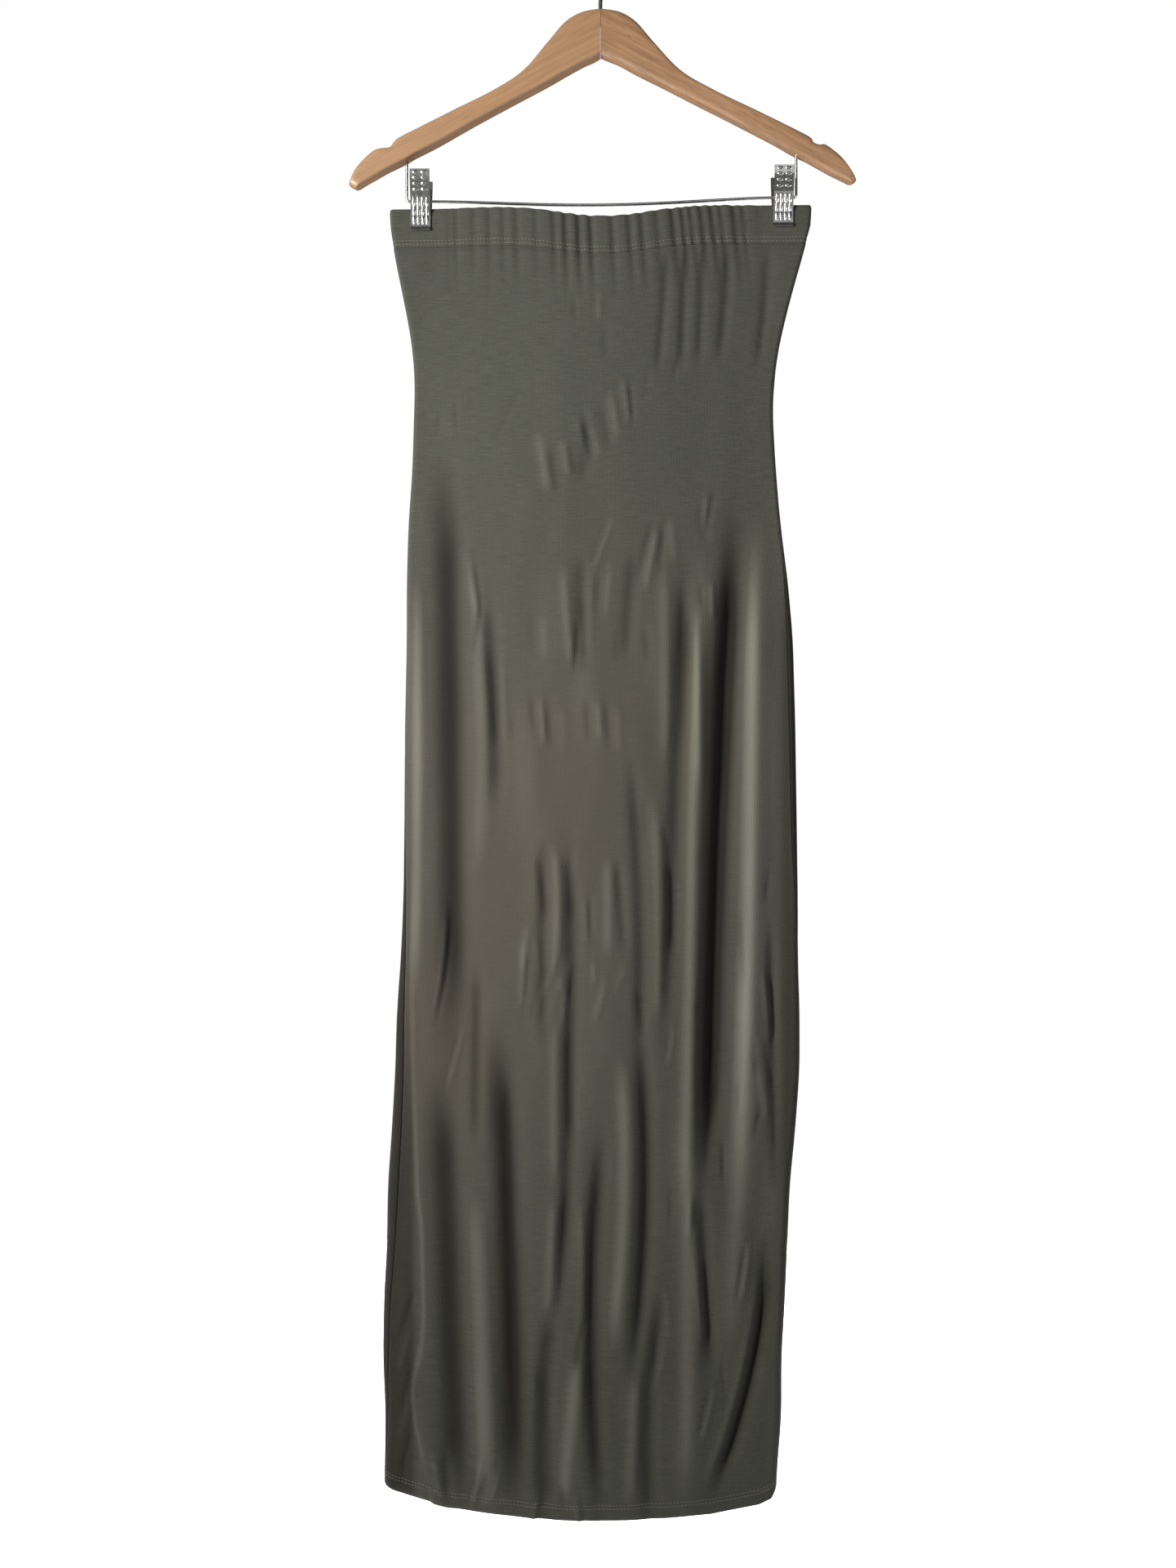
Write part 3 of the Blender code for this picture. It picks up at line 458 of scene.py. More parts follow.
# %% [markdown]
# ## One function for the whole outer face
#
# Everything on the dress, the panels, the casing, the stitches, is placed by one function that
# gives the outer face at a share of the width and a drop. Pieces made from it can't drift apart.
# The lower left has a roll of cloth that hangs over the side seam and leans out a little.

# %% The outer face
def roll_shape(x, drop):
    """The roll over the left side seam: its height, and how far it leans out."""
    edge = np.interp(
        drop,
        (560, 650, 750, 850, 880, 950, 980, 1004, 1020, 1046, 1070, 1110),
        (-168, -167, -164.5, -160.5, -156.5, -154.5, -156.5, -163.5, -165.0, -162.0, -156.0, -148.0),
    )
    size = np.interp(drop, (560, 650, 800, 900, 1000, 1060, 1110), (0, 2.5, 6.0, 8.0, 7.5, 6.0, 2.5))
    inside = x - edge
    height = size * smooth((inside + 2.0) / 7.0) * np.exp(-((np.maximum(inside, 0.0) / 26.0) ** 2))
    return height, 0.22 * height * np.exp(-(((inside - 5.0) / 8.0) ** 2))


def edge_drop(side, x, drop):
    """The sag of the top edge between the clips, and the shaped line of the hem."""
    sag = (11.5 if side == FRONT else 9.5) * np.exp(-(((x - 2.0) / 58.0) ** 2)) - 0.011 * (x + 2.0)
    hem_x = (-190, -180, -133, -59, -4, 40, 93, 135, 146, 152)
    front_hem = (0, 4.5, 14, 17.5, 18.5, 19, 19.5, 15.5, 11, 2)
    back_hem = (0, 1, 8, 12, 13, 12, 9, 6, 3, 0)
    hem = np.interp(x, hem_x, front_hem if side == FRONT else back_hem)
    return sag * (1.0 - smooth(drop / 260.0)) + hem * smooth((drop - 800.0) / 308.0)


def unevenness(side, x, drop):
    """Slight upright waves that come and go, as hanging jersey has everywhere."""
    start = 0.0 if side == FRONT else 2.4
    slow = np.sin(x / 11.9 - 2.1 * np.sin(drop / 83.0 + 1.3 + start) - drop / 140.0)
    medium = np.sin(x / 7.3 + 1.7 * np.sin(drop / 61.0 + start) + drop / 190.0)
    quick = np.sin(x / 4.9 + 2.6 * np.sin(drop / 47.0 + 0.6 - start) + drop / 97.0)
    patches = 0.55 + 0.45 * np.sin(x / 31.0 + drop / 77.0 + start) * np.sin(drop / 113.0 - x / 53.0)
    return (0.34 * slow + 0.28 * medium + 0.13 * quick) * patches * smooth((drop - 60.0) / 300.0)


def relief_parts(side, x, drop):
    """The broad folds, the fine creases and the gathers, each as a height."""
    front = side == FRONT
    broad = fold_heights(FRONT_BROAD if front else BACK_BROAD, x, drop)
    fine = fold_heights(FRONT_FINE if front else BACK_FINE, x, drop) + unevenness(side, x, drop)
    gathered = gather_heights(FRONT_GATHERS if front else BACK_GATHERS, x, drop)
    return broad, fine, gathered


# A trough this deep counts as fully sunk and gets the full painted shade, for the three kinds of fold.
BROAD_FULL, FINE_FULL, GATHER_FULL = 6.6, 7.5, 5.0
# The front darkens beyond these two places, where the cloth turns away from the light.
LEFT_STRIP_X, RIGHT_STRIP_X = -158.0, 148.0


def shade_and_highlight_share(side, points, drop):
    """How sunk the cloth is, as its share of painted shade: near 1 in a deep trough, and below 0 on a
    ridge, which gets painted highlight.
    """
    x = points[:, 0]
    broad, fine, gathered = relief_parts(side, x, drop)
    share = -(broad / BROAD_FULL + fine / FINE_FULL + gathered / GATHER_FULL)
    if side == BACK:
        # Painted shade on the back panel where it turns in to the side seams, away from the light.
        share += 0.9 * smooth((3.0 - points[:, 1]) / 6.0) * smooth((drop - 260.0) / 80.0)
    else:
        share += 0.7 * smooth((LEFT_STRIP_X - x) / 9.0) * smooth((drop - 660.0) / 160.0)
        share += 0.6 * smooth((x - RIGHT_STRIP_X) / 12.0) * smooth((drop - 300.0) / 90.0)
    return np.clip(share, -1.0, 1.0)


def cloth_point(side, along, drop):
    """The outer face of the tube. Along runs from 0 at the left seam to 1 at the right seam."""
    left, right, left_round, right_round, left_seam, right_seam = (
        section_value(column, drop)
        for column in ("left", "right", "left_round", "right_round", "left_seam", "right_seam")
    )
    left_turn = np.arccos(np.clip(1.0 - left_seam / left_round, -1.0, 1.0))
    right_turn = np.arccos(np.clip(1.0 - right_seam / right_round, -1.0, 1.0))
    half_gap = 0.5 * SEAM_GAP
    left_start = -side * left_turn + half_gap / left_round
    right_start = -side * right_turn + half_gap / right_round
    left_arc = left_round * (0.5 * math.pi - left_start)
    right_arc = right_round * (0.5 * math.pi - right_start)
    flat = (right - right_round) - (left + left_round)
    length = along * (left_arc + flat + right_arc)
    from_right = (1.0 - along) * (left_arc + flat + right_arc)
    left_angle = left_start + np.minimum(length, left_arc) / left_round
    right_angle = right_start + np.minimum(from_right, right_arc) / right_round
    share = np.clip((length - left_arc) / flat, 0.0, 1.0)
    x = left + left_round * (1.0 - np.cos(left_angle))
    x = np.where(share > 0.0, left + left_round + share * flat, x)
    x = np.where(share >= 1.0, right - right_round * (1.0 - np.cos(right_angle)), x)
    near_left = left_round * np.sin(left_angle) + (right_round - left_round) * share
    near_right = right_round * np.sin(right_angle) + (left_round - right_round) * (1.0 - share)
    depth = np.where(share < 0.5, near_left, near_right)
    pinch = 36.0 * (1.0 - smooth((drop - 22.0) / 110.0))
    open_share = np.clip((share * flat - pinch) / (flat - 2.0 * pinch), 0.0, 1.0)
    bulge = section_value("front" if side == FRONT else "back", drop)
    depth += bulge * np.sin(math.pi * open_share) ** 1.2
    broad, fine, gathered = relief_parts(side, x, drop)
    height = broad + fine + gathered
    height *= smooth(share * flat / 14.0) * smooth((1.0 - share) * flat / 14.0)
    if side == FRONT:
        roll, lean = roll_shape(x, drop)
        near_seam = smooth(share * flat / 5.0)
        height += roll * near_seam
        x = x - lean * near_seam
    depth += height
    z = TOP_Z - drop - edge_drop(side, x, drop)
    return np.stack([x, side * depth, z], axis=-1)


def cloth_normal(side, along, drop):
    """The outward direction, from small steps along and down the outer face."""
    step_along, step_drop = 1e-5, 0.01
    across = cloth_point(side, along + step_along, drop)
    across -= cloth_point(side, along - step_along, drop)
    down = cloth_point(side, along, drop + step_drop)
    down -= cloth_point(side, along, drop - step_drop)
    normal = np.cross(across, down) * side
    return normal / np.linalg.norm(normal, axis=-1, keepdims=True)


middle = cloth_point(FRONT, np.array(0.5), np.array(500.0))
print("middle of the front at 500 mm:", [round(float(value), 1) for value in middle])

# %% [markdown]
# ## Shader maths as plain expressions
#
# A procedural finish is arithmetic on fields. This small class wraps a node's output, so that a sum
# of two fields reads as a sum, and each material below stays a few lines long.

# %% A class for shader expressions
class Field:
    """One output in a node tree, with the usual arithmetic."""

    def __init__(self, tree, socket):
        self.tree = tree
        self.socket = socket

    def maths(self, operation, *others, clamp=False):
        node = self.tree.nodes.new("ShaderNodeMath")
        node.operation = operation
        node.use_clamp = clamp
        for place, value in enumerate((self, *others)):
            if isinstance(value, Field):
                self.tree.links.new(value.socket, node.inputs[place])
            else:
                node.inputs[place].default_value = value
        return Field(self.tree, node.outputs[0])

    def __add__(self, other):
        return self.maths("ADD", other)

    def __sub__(self, other):
        return self.maths("SUBTRACT", other)

    def __rsub__(self, other):
        return self.maths("MULTIPLY", -1.0).maths("ADD", other)

    def __mul__(self, other):
        return self.maths("MULTIPLY", other)

    def __truediv__(self, other):
        return self.maths("DIVIDE", other)

    def held(self):
        """The value kept between 0 and 1."""
        return self.maths("ADD", 0.0, clamp=True)

    def between(self, low, high):
        """0 at low and 1 at high, held there."""
        return ((self - low) / (high - low)).held()

    def wave(self, pitch):
        return (self * (2.0 * math.pi / pitch)).maths("SINE")


class Finish:
    """A material under construction, with one method that makes any node."""

    def __init__(self, name):
        self.material = bpy.data.materials.new(name)
        self.material.use_nodes = True
        self.tree = self.material.node_tree
        self.shader = self.tree.nodes["Principled BSDF"]

    def node(self, kind, settings=None, inputs=None):
        made = self.tree.nodes.new(kind)
        for key, value in (settings or {}).items():
            setattr(made, key, value)
        for key, value in (inputs or {}).items():
            if isinstance(value, Field):
                self.tree.links.new(value.socket, made.inputs[key])
            elif hasattr(value, "is_output"):
                self.tree.links.new(value, made.inputs[key])
            else:
                made.inputs[key].default_value = value
        return made

    def place(self, source="Object"):
        """The coordinates that the finish is laid out on."""
        return self.node("ShaderNodeTexCoord").outputs[source]

    def cloth_place(self):
        return self.node("ShaderNodeUVMap", {"uv_map": "cloth"}).outputs["UV"]

    def scaled(self, vector, scale):
        inputs = {"Vector": vector, "Scale": scale}
        made = self.node("ShaderNodeMapping", {"vector_type": "POINT"}, inputs)
        return made.outputs["Vector"]

    def noise(self, vector, scale, detail=2.0, roughness=0.5):
        inputs = {"Vector": vector, "Scale": scale, "Detail": detail, "Roughness": roughness}
        return Field(self.tree, self.node("ShaderNodeTexNoise", None, inputs).outputs["Fac"])

    def axes(self, vector):
        split = self.node("ShaderNodeSeparateXYZ", None, {"Vector": vector})
        return [Field(self.tree, socket) for socket in split.outputs]

    def mixed(self, factor, one, two):
        """A colour between two colours."""
        made = self.node("ShaderNodeMix", {"data_type": "RGBA"}, {"Factor": factor})
        for slot_name, colour in (("A_Color", one), ("B_Color", two)):
            socket = next(entry for entry in made.inputs if entry.identifier == slot_name)
            if hasattr(colour, "is_output"):
                self.tree.links.new(colour, socket)
            else:
                socket.default_value = (*colour, 1.0)
        return next(entry for entry in made.outputs if entry.identifier == "Result_Color")

    def bump(self, height, distance, strength=1.0):
        inputs = {"Height": height, "Distance": distance, "Strength": strength}
        made = self.node("ShaderNodeBump", None, inputs)
        self.tree.links.new(made.outputs["Normal"], self.shader.inputs["Normal"])

    def colour(self, socket):
        self.tree.links.new(socket, self.shader.inputs["Base Color"])

    def set(self, **values):
        for key, value in values.items():
            socket = self.shader.inputs[key.replace("_", " ")]
            if isinstance(value, Field):
                self.tree.links.new(value.socket, socket)
            else:
                socket.default_value = value


print("shader helpers ready")

# %% [markdown]
# ## Jersey
#
# The cloth is a matt, slightly heathered olive grey. Its yarn is uneven, which shows as short
# streaks that run across the cloth, lighter and darker than the ground. The wales, the fine upright
# ribs of a knit, are about a millimetre apart, so they are bump only. Shade is painted into the
# colour by how deep a spot lies in a fold, with a painted highlight on the ridges, because soft light
# from the front leaves the folds too weak. A warm tint over the middle of the length is painted
# reflection.

# %% Jersey finish
def jersey_finish():
    finish = Finish("jersey")
    place = finish.cloth_place()
    across, down, _ = finish.axes(place)
    slubs = finish.noise(finish.scaled(place, (60.0, 900.0, 1.0)), 1.0, 3.0, 0.55)
    yarns = finish.noise(finish.scaled(place, (220.0, 1500.0, 1.0)), 1.0, 2.0, 0.6)
    fuzz = finish.noise(place, 900.0, 2.0, 0.6)
    clouds = finish.noise(finish.scaled(place, (9.0, 5.0, 1.0)), 1.0, 2.0, 0.5)
    tone = (slubs * 0.55 + yarns * 0.3 + fuzz * 0.25 + clouds * 0.15).between(0.38, 0.86)
    ground = finish.mixed(tone, (0.027, 0.028, 0.0218), (0.056, 0.057, 0.0452))
    # Painted reflection: a warm brownish tint in patches over the middle of the length stands for warm
    # light bounced onto the cloth.
    warm_bounce_patch = finish.noise(finish.scaled(place, (4.0, 2.0, 1.0)), 1.0, 1.0, 0.5).between(0.2, 0.6)
    painted_warm_bounce = warm_bounce_patch * down.between(0.22, 0.45) * (1.0 - down.between(0.75, 1.0))
    cloth = finish.mixed(painted_warm_bounce * 0.6, ground, (0.058, 0.049, 0.039))
    # Painted shade: the stored share darkens the colour to near black in the folds' troughs and on the
    # strips turned away from the light.
    stored = finish.node("ShaderNodeAttribute", {"attribute_name": "shade_and_highlight"})
    shade_and_highlight = Field(finish.tree, stored.outputs["Fac"])
    depth = shade_and_highlight.between(0.0, 1.0).maths("POWER", 1.2) * 0.95
    painted_fold_shade = finish.mixed(depth, cloth, (0.006, 0.0048, 0.003))
    # Painted highlight: on the ridges the colour is lightened towards a pale olive.
    raised = (shade_and_highlight * -1.0).between(0.0, 0.8) * 0.75
    finish.colour(finish.mixed(raised, painted_fold_shade, (0.170, 0.166, 0.138)))
    wales = across.wave(0.0011)
    courses = down.wave(0.0013)
    height = wales * 0.35 + courses * 0.15 + yarns * 1.2 + slubs * 0.9 + fuzz * 0.5
    finish.bump(height, 0.00022, 0.8)
    finish.set(Roughness=0.92, Specular_IOR_Level=0.22, Sheen_Weight=0.10, Sheen_Roughness=0.45)
    finish.shader.inputs["Sheen Tint"].default_value = (0.72, 0.70, 0.62, 1.0)
    return finish.material


def thread_finish():
    finish = Finish("olive_thread")
    place = finish.place()
    ply = finish.noise(place, 1800.0, 2.0, 0.5)
    finish.colour(finish.mixed(ply, (0.085, 0.087, 0.066), (0.17, 0.17, 0.135)))
    finish.bump(ply, 0.0001, 0.6)
    finish.set(Roughness=0.7)
    return finish.material


jersey = jersey_finish()
thread = thread_finish()
print("cloth finishes:", jersey.name, thread.name)

# %% [markdown]
# ## Wood and steel
#
# The arms are beech under a clear satin varnish, cut with the grain along each arm. The left arm is
# pale and quiet, and the right one is browner with open dark pores. The steel is bright plated, a
# little brushed along the jaw.

# %% Wood and steel finishes
def wood_finish(name, pale, dark, pore_strength, slope):
    """Grain that runs down an arm of the given slope."""
    finish = Finish(name)
    x, y, z = finish.axes(finish.place())
    run = math.hypot(1.0, slope)
    lengthwise = (x + z * slope) / run
    crosswise = (z - x * slope) / run

    def grain_noise(along, through, across, detail, roughness):
        """Noise that is drawn out along the arm."""
        inputs = {"X": lengthwise * along, "Y": y * through, "Z": crosswise * across}
        joined = finish.node("ShaderNodeCombineXYZ", None, inputs)
        return finish.noise(joined.outputs[0], 1.0, detail, roughness)

    grain = grain_noise(14.0, 260.0, 300.0, 4.0, 0.6)
    pores = grain_noise(70.0, 1100.0, 1300.0, 3.0, 0.65).between(0.56, 0.72)
    ground = finish.mixed(grain.between(0.3, 0.72), pale, dark)
    deep = tuple(0.45 * value for value in dark)
    finish.colour(finish.mixed(pores * pore_strength, ground, deep))
    finish.bump(pores * -1.0 + grain * 0.3, 0.00015, 0.5)
    finish.set(Roughness=grain.between(0.2, 0.8) * 0.14 + 0.34, Coat_Weight=0.18, Coat_Roughness=0.3)
    return finish.material


def steel_finish():
    finish = Finish("bright_steel")
    place = finish.place()
    brushed = finish.noise(finish.scaled(place, (900.0, 900.0, 60.0)), 1.0, 2.0, 0.5)
    cloudy = finish.noise(place, 90.0, 2.0, 0.5)
    finish.colour(finish.mixed(cloudy, (0.55, 0.55, 0.54), (0.80, 0.80, 0.79)))
    finish.bump(brushed, 0.00004, 0.3)
    finish.set(Roughness=brushed * 0.16 + 0.16, Metallic=1.0)
    return finish.material


# Rise over run of the arms, from two points on the left arm's upper edge
ARM_SLOPE = (-166.7 + 115.8) / (-162.6 + 69.3)
LEFT_COLOURS = (0.290, 0.168, 0.086), (0.218, 0.119, 0.058)
RIGHT_COLOURS = (0.300, 0.172, 0.092), (0.172, 0.088, 0.042)
light_wood = wood_finish("light_wood", *LEFT_COLOURS, 0.25, ARM_SLOPE)
brown_wood = wood_finish("brown_wood", *RIGHT_COLOURS, 0.75, -ARM_SLOPE)
steel = steel_finish()
print("hard finishes:", light_wood.name, brown_wood.name, steel.name)

# %% [markdown]
# ## From a grid to a panel
#
# A panel is a flat piece of cloth, so it starts as a flat grid whose width and length become its UV
# map. Every corner is then carried to the outer face, and a Solidify modifier gives the wall. The
# same grid makes the two body panels.

# %% Panels
PANEL_ACROSS = 0.35
CASING_ACROSS = 0.366
CASING_PLACE = 1.3
BACK_PLACE = 0.5


def metres(spot):
    """A point in millimetres as a vector in metres."""
    return Vector([float(value) * MM for value in spot])


def mesh_from(work, name):
    """The mesh of a bmesh, which is freed."""
    mesh = bpy.data.meshes.new(name)
    work.to_mesh(mesh)
    work.free()
    return mesh


def linked(name, mesh, material):
    """A smooth object in the scene, with its material."""
    mesh.materials.append(material)
    mesh.polygons.foreach_set("use_smooth", [True] * len(mesh.polygons))
    piece = bpy.data.objects.new(name, mesh)
    bpy.context.scene.collection.objects.link(piece)
    return piece


def flat_grid(columns, rows):
    """A grid, with each corner's place across it and down it, both from 0 to 1."""
    work = bmesh.new()
    bmesh.ops.create_grid(work, x_segments=columns, y_segments=rows, size=0.5)
    work.verts.ensure_lookup_table()
    spots = np.array([vertex.co[:] for vertex in work.verts])
    return work, spots[:, 0] + 0.5, 0.5 - spots[:, 1]


def lay(work, side, points, across, down):
    """Carries the grid's corners to the points, and keeps its cut as the UV map, in metres."""
    for vertex, spot in zip(work.verts, points):
        vertex.co = metres(spot)
    layer = work.loops.layers.uv.new("cloth")
    offset = 0.0 if side == FRONT else BACK_PLACE
    for face in work.faces:
        for corner in face.loops:
            number = corner.vert.index
            corner[layer].uv = (offset + across[number], down[number])


def store_shade_and_highlight(mesh, values):
    """Keeps one value for each corner of the cloth, for the finish to read as painted shade and
    painted highlight.
    """
    layer = mesh.attributes.new("shade_and_highlight", "FLOAT", "POINT")
    layer.data.foreach_set("value", np.asarray(values, np.float32))


def cloth_grid(name, side, columns, rows, top, low, raised=0.0):
    """A grid laid on the outer face between two drops, with its cut as the UV map."""
    work, along, share_down = flat_grid(columns, rows)
    along = along - 0.035 * np.sin(2.0 * math.pi * along)
    drop = top + share_down * (low - top)
    outer = cloth_point(side, along, drop) + cloth_normal(side, along, drop) * raised
    lay(work, side, outer, PANEL_ACROSS * along, MM * drop)
    bmesh.ops.recalc_face_normals(work, faces=work.faces)
    outward = sum((face.normal.y for face in work.faces), 0.0)
    if outward * side < 0.0:
        bmesh.ops.reverse_faces(work, faces=work.faces)
    mesh = mesh_from(work, name)
    store_shade_and_highlight(mesh, shade_and_highlight_share(side, outer, drop))
    return mesh


def add_wall(piece, thickness):
    wall = piece.modifiers.new("wall", "SOLIDIFY")
    wall.thickness = thickness * MM
    wall.offset = -1.0
    wall.use_even_offset = False


def add_panel(name, side, columns, rows):
    mesh = cloth_grid(name, side, columns, rows, CASING_DEEP + SEAM_GAP, HEM_DROP)
    panel = linked(name, mesh, jersey)
    add_wall(panel, JERSEY)
    print(name, "faces:", len(mesh.polygons))
    return panel


front_panel = add_panel("dress_front", FRONT, 252, 190)
back_panel = add_panel("dress_back", BACK, 150, 200)

# %% [markdown]
# ## The hem allowance
#
# The lower edge is turned up inside, where it is held by a twin needle. Inside the tube it is a
# second layer with its own raw edge. A short grid just inside the panel makes it.

# %% Hem allowance
def add_turning(name, side, columns):
    """The turned-up layer inside the hem."""
    top, low = HEM_DROP - HEM_DEEP, HEM_DROP - 0.3
    mesh = cloth_grid(name, side, columns, 4, top, low, raised=-JERSEY - 0.05)
    turning = linked(name, mesh, jersey)
    add_wall(turning, 0.9)
    return turning


hem_front = add_turning("hem_turning_front", FRONT, 252)
hem_back = add_turning("hem_turning_back", BACK, 150)
print("hem turnings:", hem_front.name, hem_back.name)

# %% [markdown]
# ## The casing
#
# The casing is a strip folded over the elastic. Its fold is soft and round at the top, and its face
# swells a little between the fold and the stitching. Seen from the side it is a loop, so a grid is
# wrapped round that loop: down the outside, and down the inside.

# %% Casing
CASING_LOOP = (
    # drop, depth below the outer face
    (CASING_DEEP, 0.5),
    (33.2, 0.05),
    (31.2, 0.35),
    (29.6, 0.1),
    (28.0, 0.4),
    (25.0, 0.0),
    (17.0, -0.15),
    (9.0, -0.15),
    (3.0, 0.05),
    (1.2, 0.35),
    (0.3, 0.9),
    (0.0, 1.5),
    (0.3, 2.1),
    (1.2, 2.7),
    (4.0, CASING_WALL),
    (18.0, CASING_WALL),
    (30.0, CASING_WALL),
    (33.6, 2.6),
)


def add_casing(name, side, columns):
    rows = len(CASING_LOOP) - 1
    work, along, share_down = flat_grid(columns, rows)
    step = np.clip(np.rint(share_down * rows).astype(int), 0, rows)
    loop = np.array(CASING_LOOP)
    drop, below = loop[step, 0], loop[step, 1]
    points = cloth_point(side, along, drop) - cloth_normal(side, along, drop) * below[:, None]
    run = np.concatenate([[0.0], np.cumsum(np.hypot(*np.diff(loop, axis=0).T))])
    lay(work, side, points, CASING_ACROSS * along, CASING_PLACE + MM * run[step])
    rim = [edge for edge in work.edges if edge.is_boundary]
    bmesh.ops.holes_fill(work, edges=rim, sides=0)
    bmesh.ops.recalc_face_normals(work, faces=work.faces)
    mesh = mesh_from(work, name)
    store_shade_and_highlight(mesh, shade_and_highlight_share(side, points, drop) * (below < 1.0))
    casing = linked(name, mesh, jersey)
    print(name, "faces:", len(mesh.polygons))
    return casing


casing_front = add_casing("dress_casing_front", FRONT, 330)
casing_back = add_casing("dress_casing_back", BACK, 260)

# %% [markdown]
# ## Twin-needle stitching
#
# Two rows of short stitches run along the foot of the casing and along the hem, about 3 mm apart.
# Each stitch is a small bead of thread, pressed into the cloth. All the stitches of one seam are
# joined in one mesh.

# %% Stitches
STITCH_PITCH = 3.1
STITCH_LONG = 2.3
STITCH_THICK = 0.42


def add_stitches(name, side, drops, raised):
    """Rows of stitches at the given drops, from seam to seam."""
    work = bmesh.new()
    for drop in drops:
        samples = np.linspace(0.0, 1.0, 900)
        line = cloth_point(side, samples, np.full_like(samples, drop))
        run = np.concatenate([[0.0], np.cumsum(np.linalg.norm(np.diff(line, axis=0), axis=1))])
        marks = np.arange(2.0, run[-1] - 2.0, STITCH_PITCH)
        shares = np.interp(marks, run, samples)
        drops_here = np.full_like(shares, drop)
        spots = cloth_point(side, shares, drops_here)
        normals = cloth_normal(side, shares, drops_here)
        ahead = cloth_point(side, shares + 1e-3, drops_here)
        ahead -= cloth_point(side, shares - 1e-3, drops_here)
        for spot, normal, forward in zip(spots, normals, ahead):
            place_stitch(work, Vector(spot), Vector(normal), Vector(forward).normalized(), raised)
    return linked(name, mesh_from(work, name), thread)


def place_stitch(work, spot, normal, forward, raised):
    """One bead of thread along the row."""
    sideways = normal.cross(forward).normalized()
    turn = Matrix((forward, sideways, normal)).transposed().to_4x4()
    size = Matrix.Diagonal((0.5 * STITCH_LONG, 0.5 * STITCH_THICK, 0.5 * STITCH_THICK, 1.0))
    place = Matrix.Translation((spot + normal * raised) * MM)
    shrink = Matrix.Scale(MM, 4)
    matrix = place @ turn @ shrink @ size
    bmesh.ops.create_icosphere(work, subdivisions=2, radius=1.0, matrix=matrix)


casing_rows = (28.0, 31.2)
hem_rows = (HEM_DROP - 12.4, HEM_DROP - 9.6)
casing_stitches_front = add_stitches("casing_stitches_front", FRONT, casing_rows, -0.18)
casing_stitches_back = add_stitches("casing_stitches_back", BACK, casing_rows, -0.18)
hem_stitches_front = add_stitches("hem_stitches_front", FRONT, hem_rows, 0.0)
hem_stitches_back = add_stitches("hem_stitches_back", BACK, hem_rows, 0.0)
print("stitch faces:", len(casing_stitches_front.data.polygons), len(hem_stitches_front.data.polygons))

# %% [markdown]
# ## The wooden arms
#
# Each arm is a shaped bar: the stations give its upper and lower edge, and a rounded section runs
# through them. The left arm's lower front edge is crisp and the right one's is rounded. A grid is
# wrapped round the section and its ends are filled.

# %% Arms
Arm = namedtuple("Arm", "top_x top_z low_x low_z")
LEFT_ARM = table(
    Arm,
    (-2.15, -62.1, -2.15, -101.1),
    (-17.7, -64.9, -8.5, -104.7),
    (-32.6, -73.4, -16.4, -108.2),
    (-47.4, -90.4, -32.1, -116.8),
    (-69.3, -115.8, -47.1, -125.4),
    (-94.8, -132.8, -79.3, -142.6),
    (-128.7, -149.7, -110.8, -159.7),
    (-162.6, -166.7, -140.8, -176.9),
    (-176.7, -173.8, -158.7, -186.2),
    (-181, -177.3, -164.4, -189.1),
    (-185.2, -182.3, -170.2, -192.7),
    (-193, -183.2, -180.2, -197.7),
    (-198.7, -185.1, -188.8, -202),
    (-206.4, -191.4, -197.4, -207),
    (-214.9, -201.3, -205.2, -211.3),
    (-220.6, -213.4, -214.2, -217),
)
RIGHT_ARM = table(
    Arm,
    (-1.85, -62.1, -1.85, -101.1),
    (14.8, -64.9, 6.5, -104.7),
    (28.9, -73.4, 15.1, -108.2),
    (43.7, -90.4, 30.8, -116.8),
    (67.8, -115.8, 48.7, -125.4),
    (96.7, -132.8, 82.3, -142.6),
    (132.1, -149.7, 116, -159.7),
    (166.7, -166.7, 148.9, -176.9),
    (180.1, -173.8, 162.5, -184.8),
    (183, -178, 169.6, -188.4),
    (187.9, -180.1, 176.8, -191.9),
    (193.6, -180.1, 184.6, -196.2),
    (204.2, -187.9, 196.1, -202.7),
    (211.9, -196.4, 206.8, -208),
    (220.4, -209.8, 216.1, -212.3),
)
ARM_HALF_THICK = 7.0


def between_stations(stations, share):
    """A station at any share of the arm, on a smooth curve through its neighbours."""
    last = len(stations) - 1
    place = min(share * last, last - 1e-6)
    first = int(place)
    part = place - first
    rows = [np.array(stations[max(0, min(last, first + step))]) for step in (-1, 0, 1, 2)]
    near, far = 0.5 * (rows[2] - rows[0]), 0.5 * (rows[3] - rows[1])
    rise = rows[2] - rows[1]
    value = rows[1] + near * part + (3.0 * rise - 2.0 * near - far) * part**2
    return value + (near + far - 2.0 * rise) * part**3


def section_spot(station, half_thick, top_round, low_round, turn):
    """A point on the rounded section; turn runs from 0 to 1 round it, starting at the top."""
    top, low = np.array(station[:2]), np.array(station[2:])
    height = float(np.linalg.norm(low - top))
    angle = 2.0 * math.pi * turn
    across, reach = math.sin(angle), math.cos(angle)
    round_size = top_round if reach > 0.0 else low_round
    power = 2.0 / (2.0 + 1.6 * half_thick / round_size)
    across = math.copysign(abs(across) ** power, across) * half_thick
    reach = math.copysign(abs(reach) ** power, reach)
    spot = top + (low - top) / height * (0.5 * height * (1.0 - reach))
    return spot[0], across, spot[1]


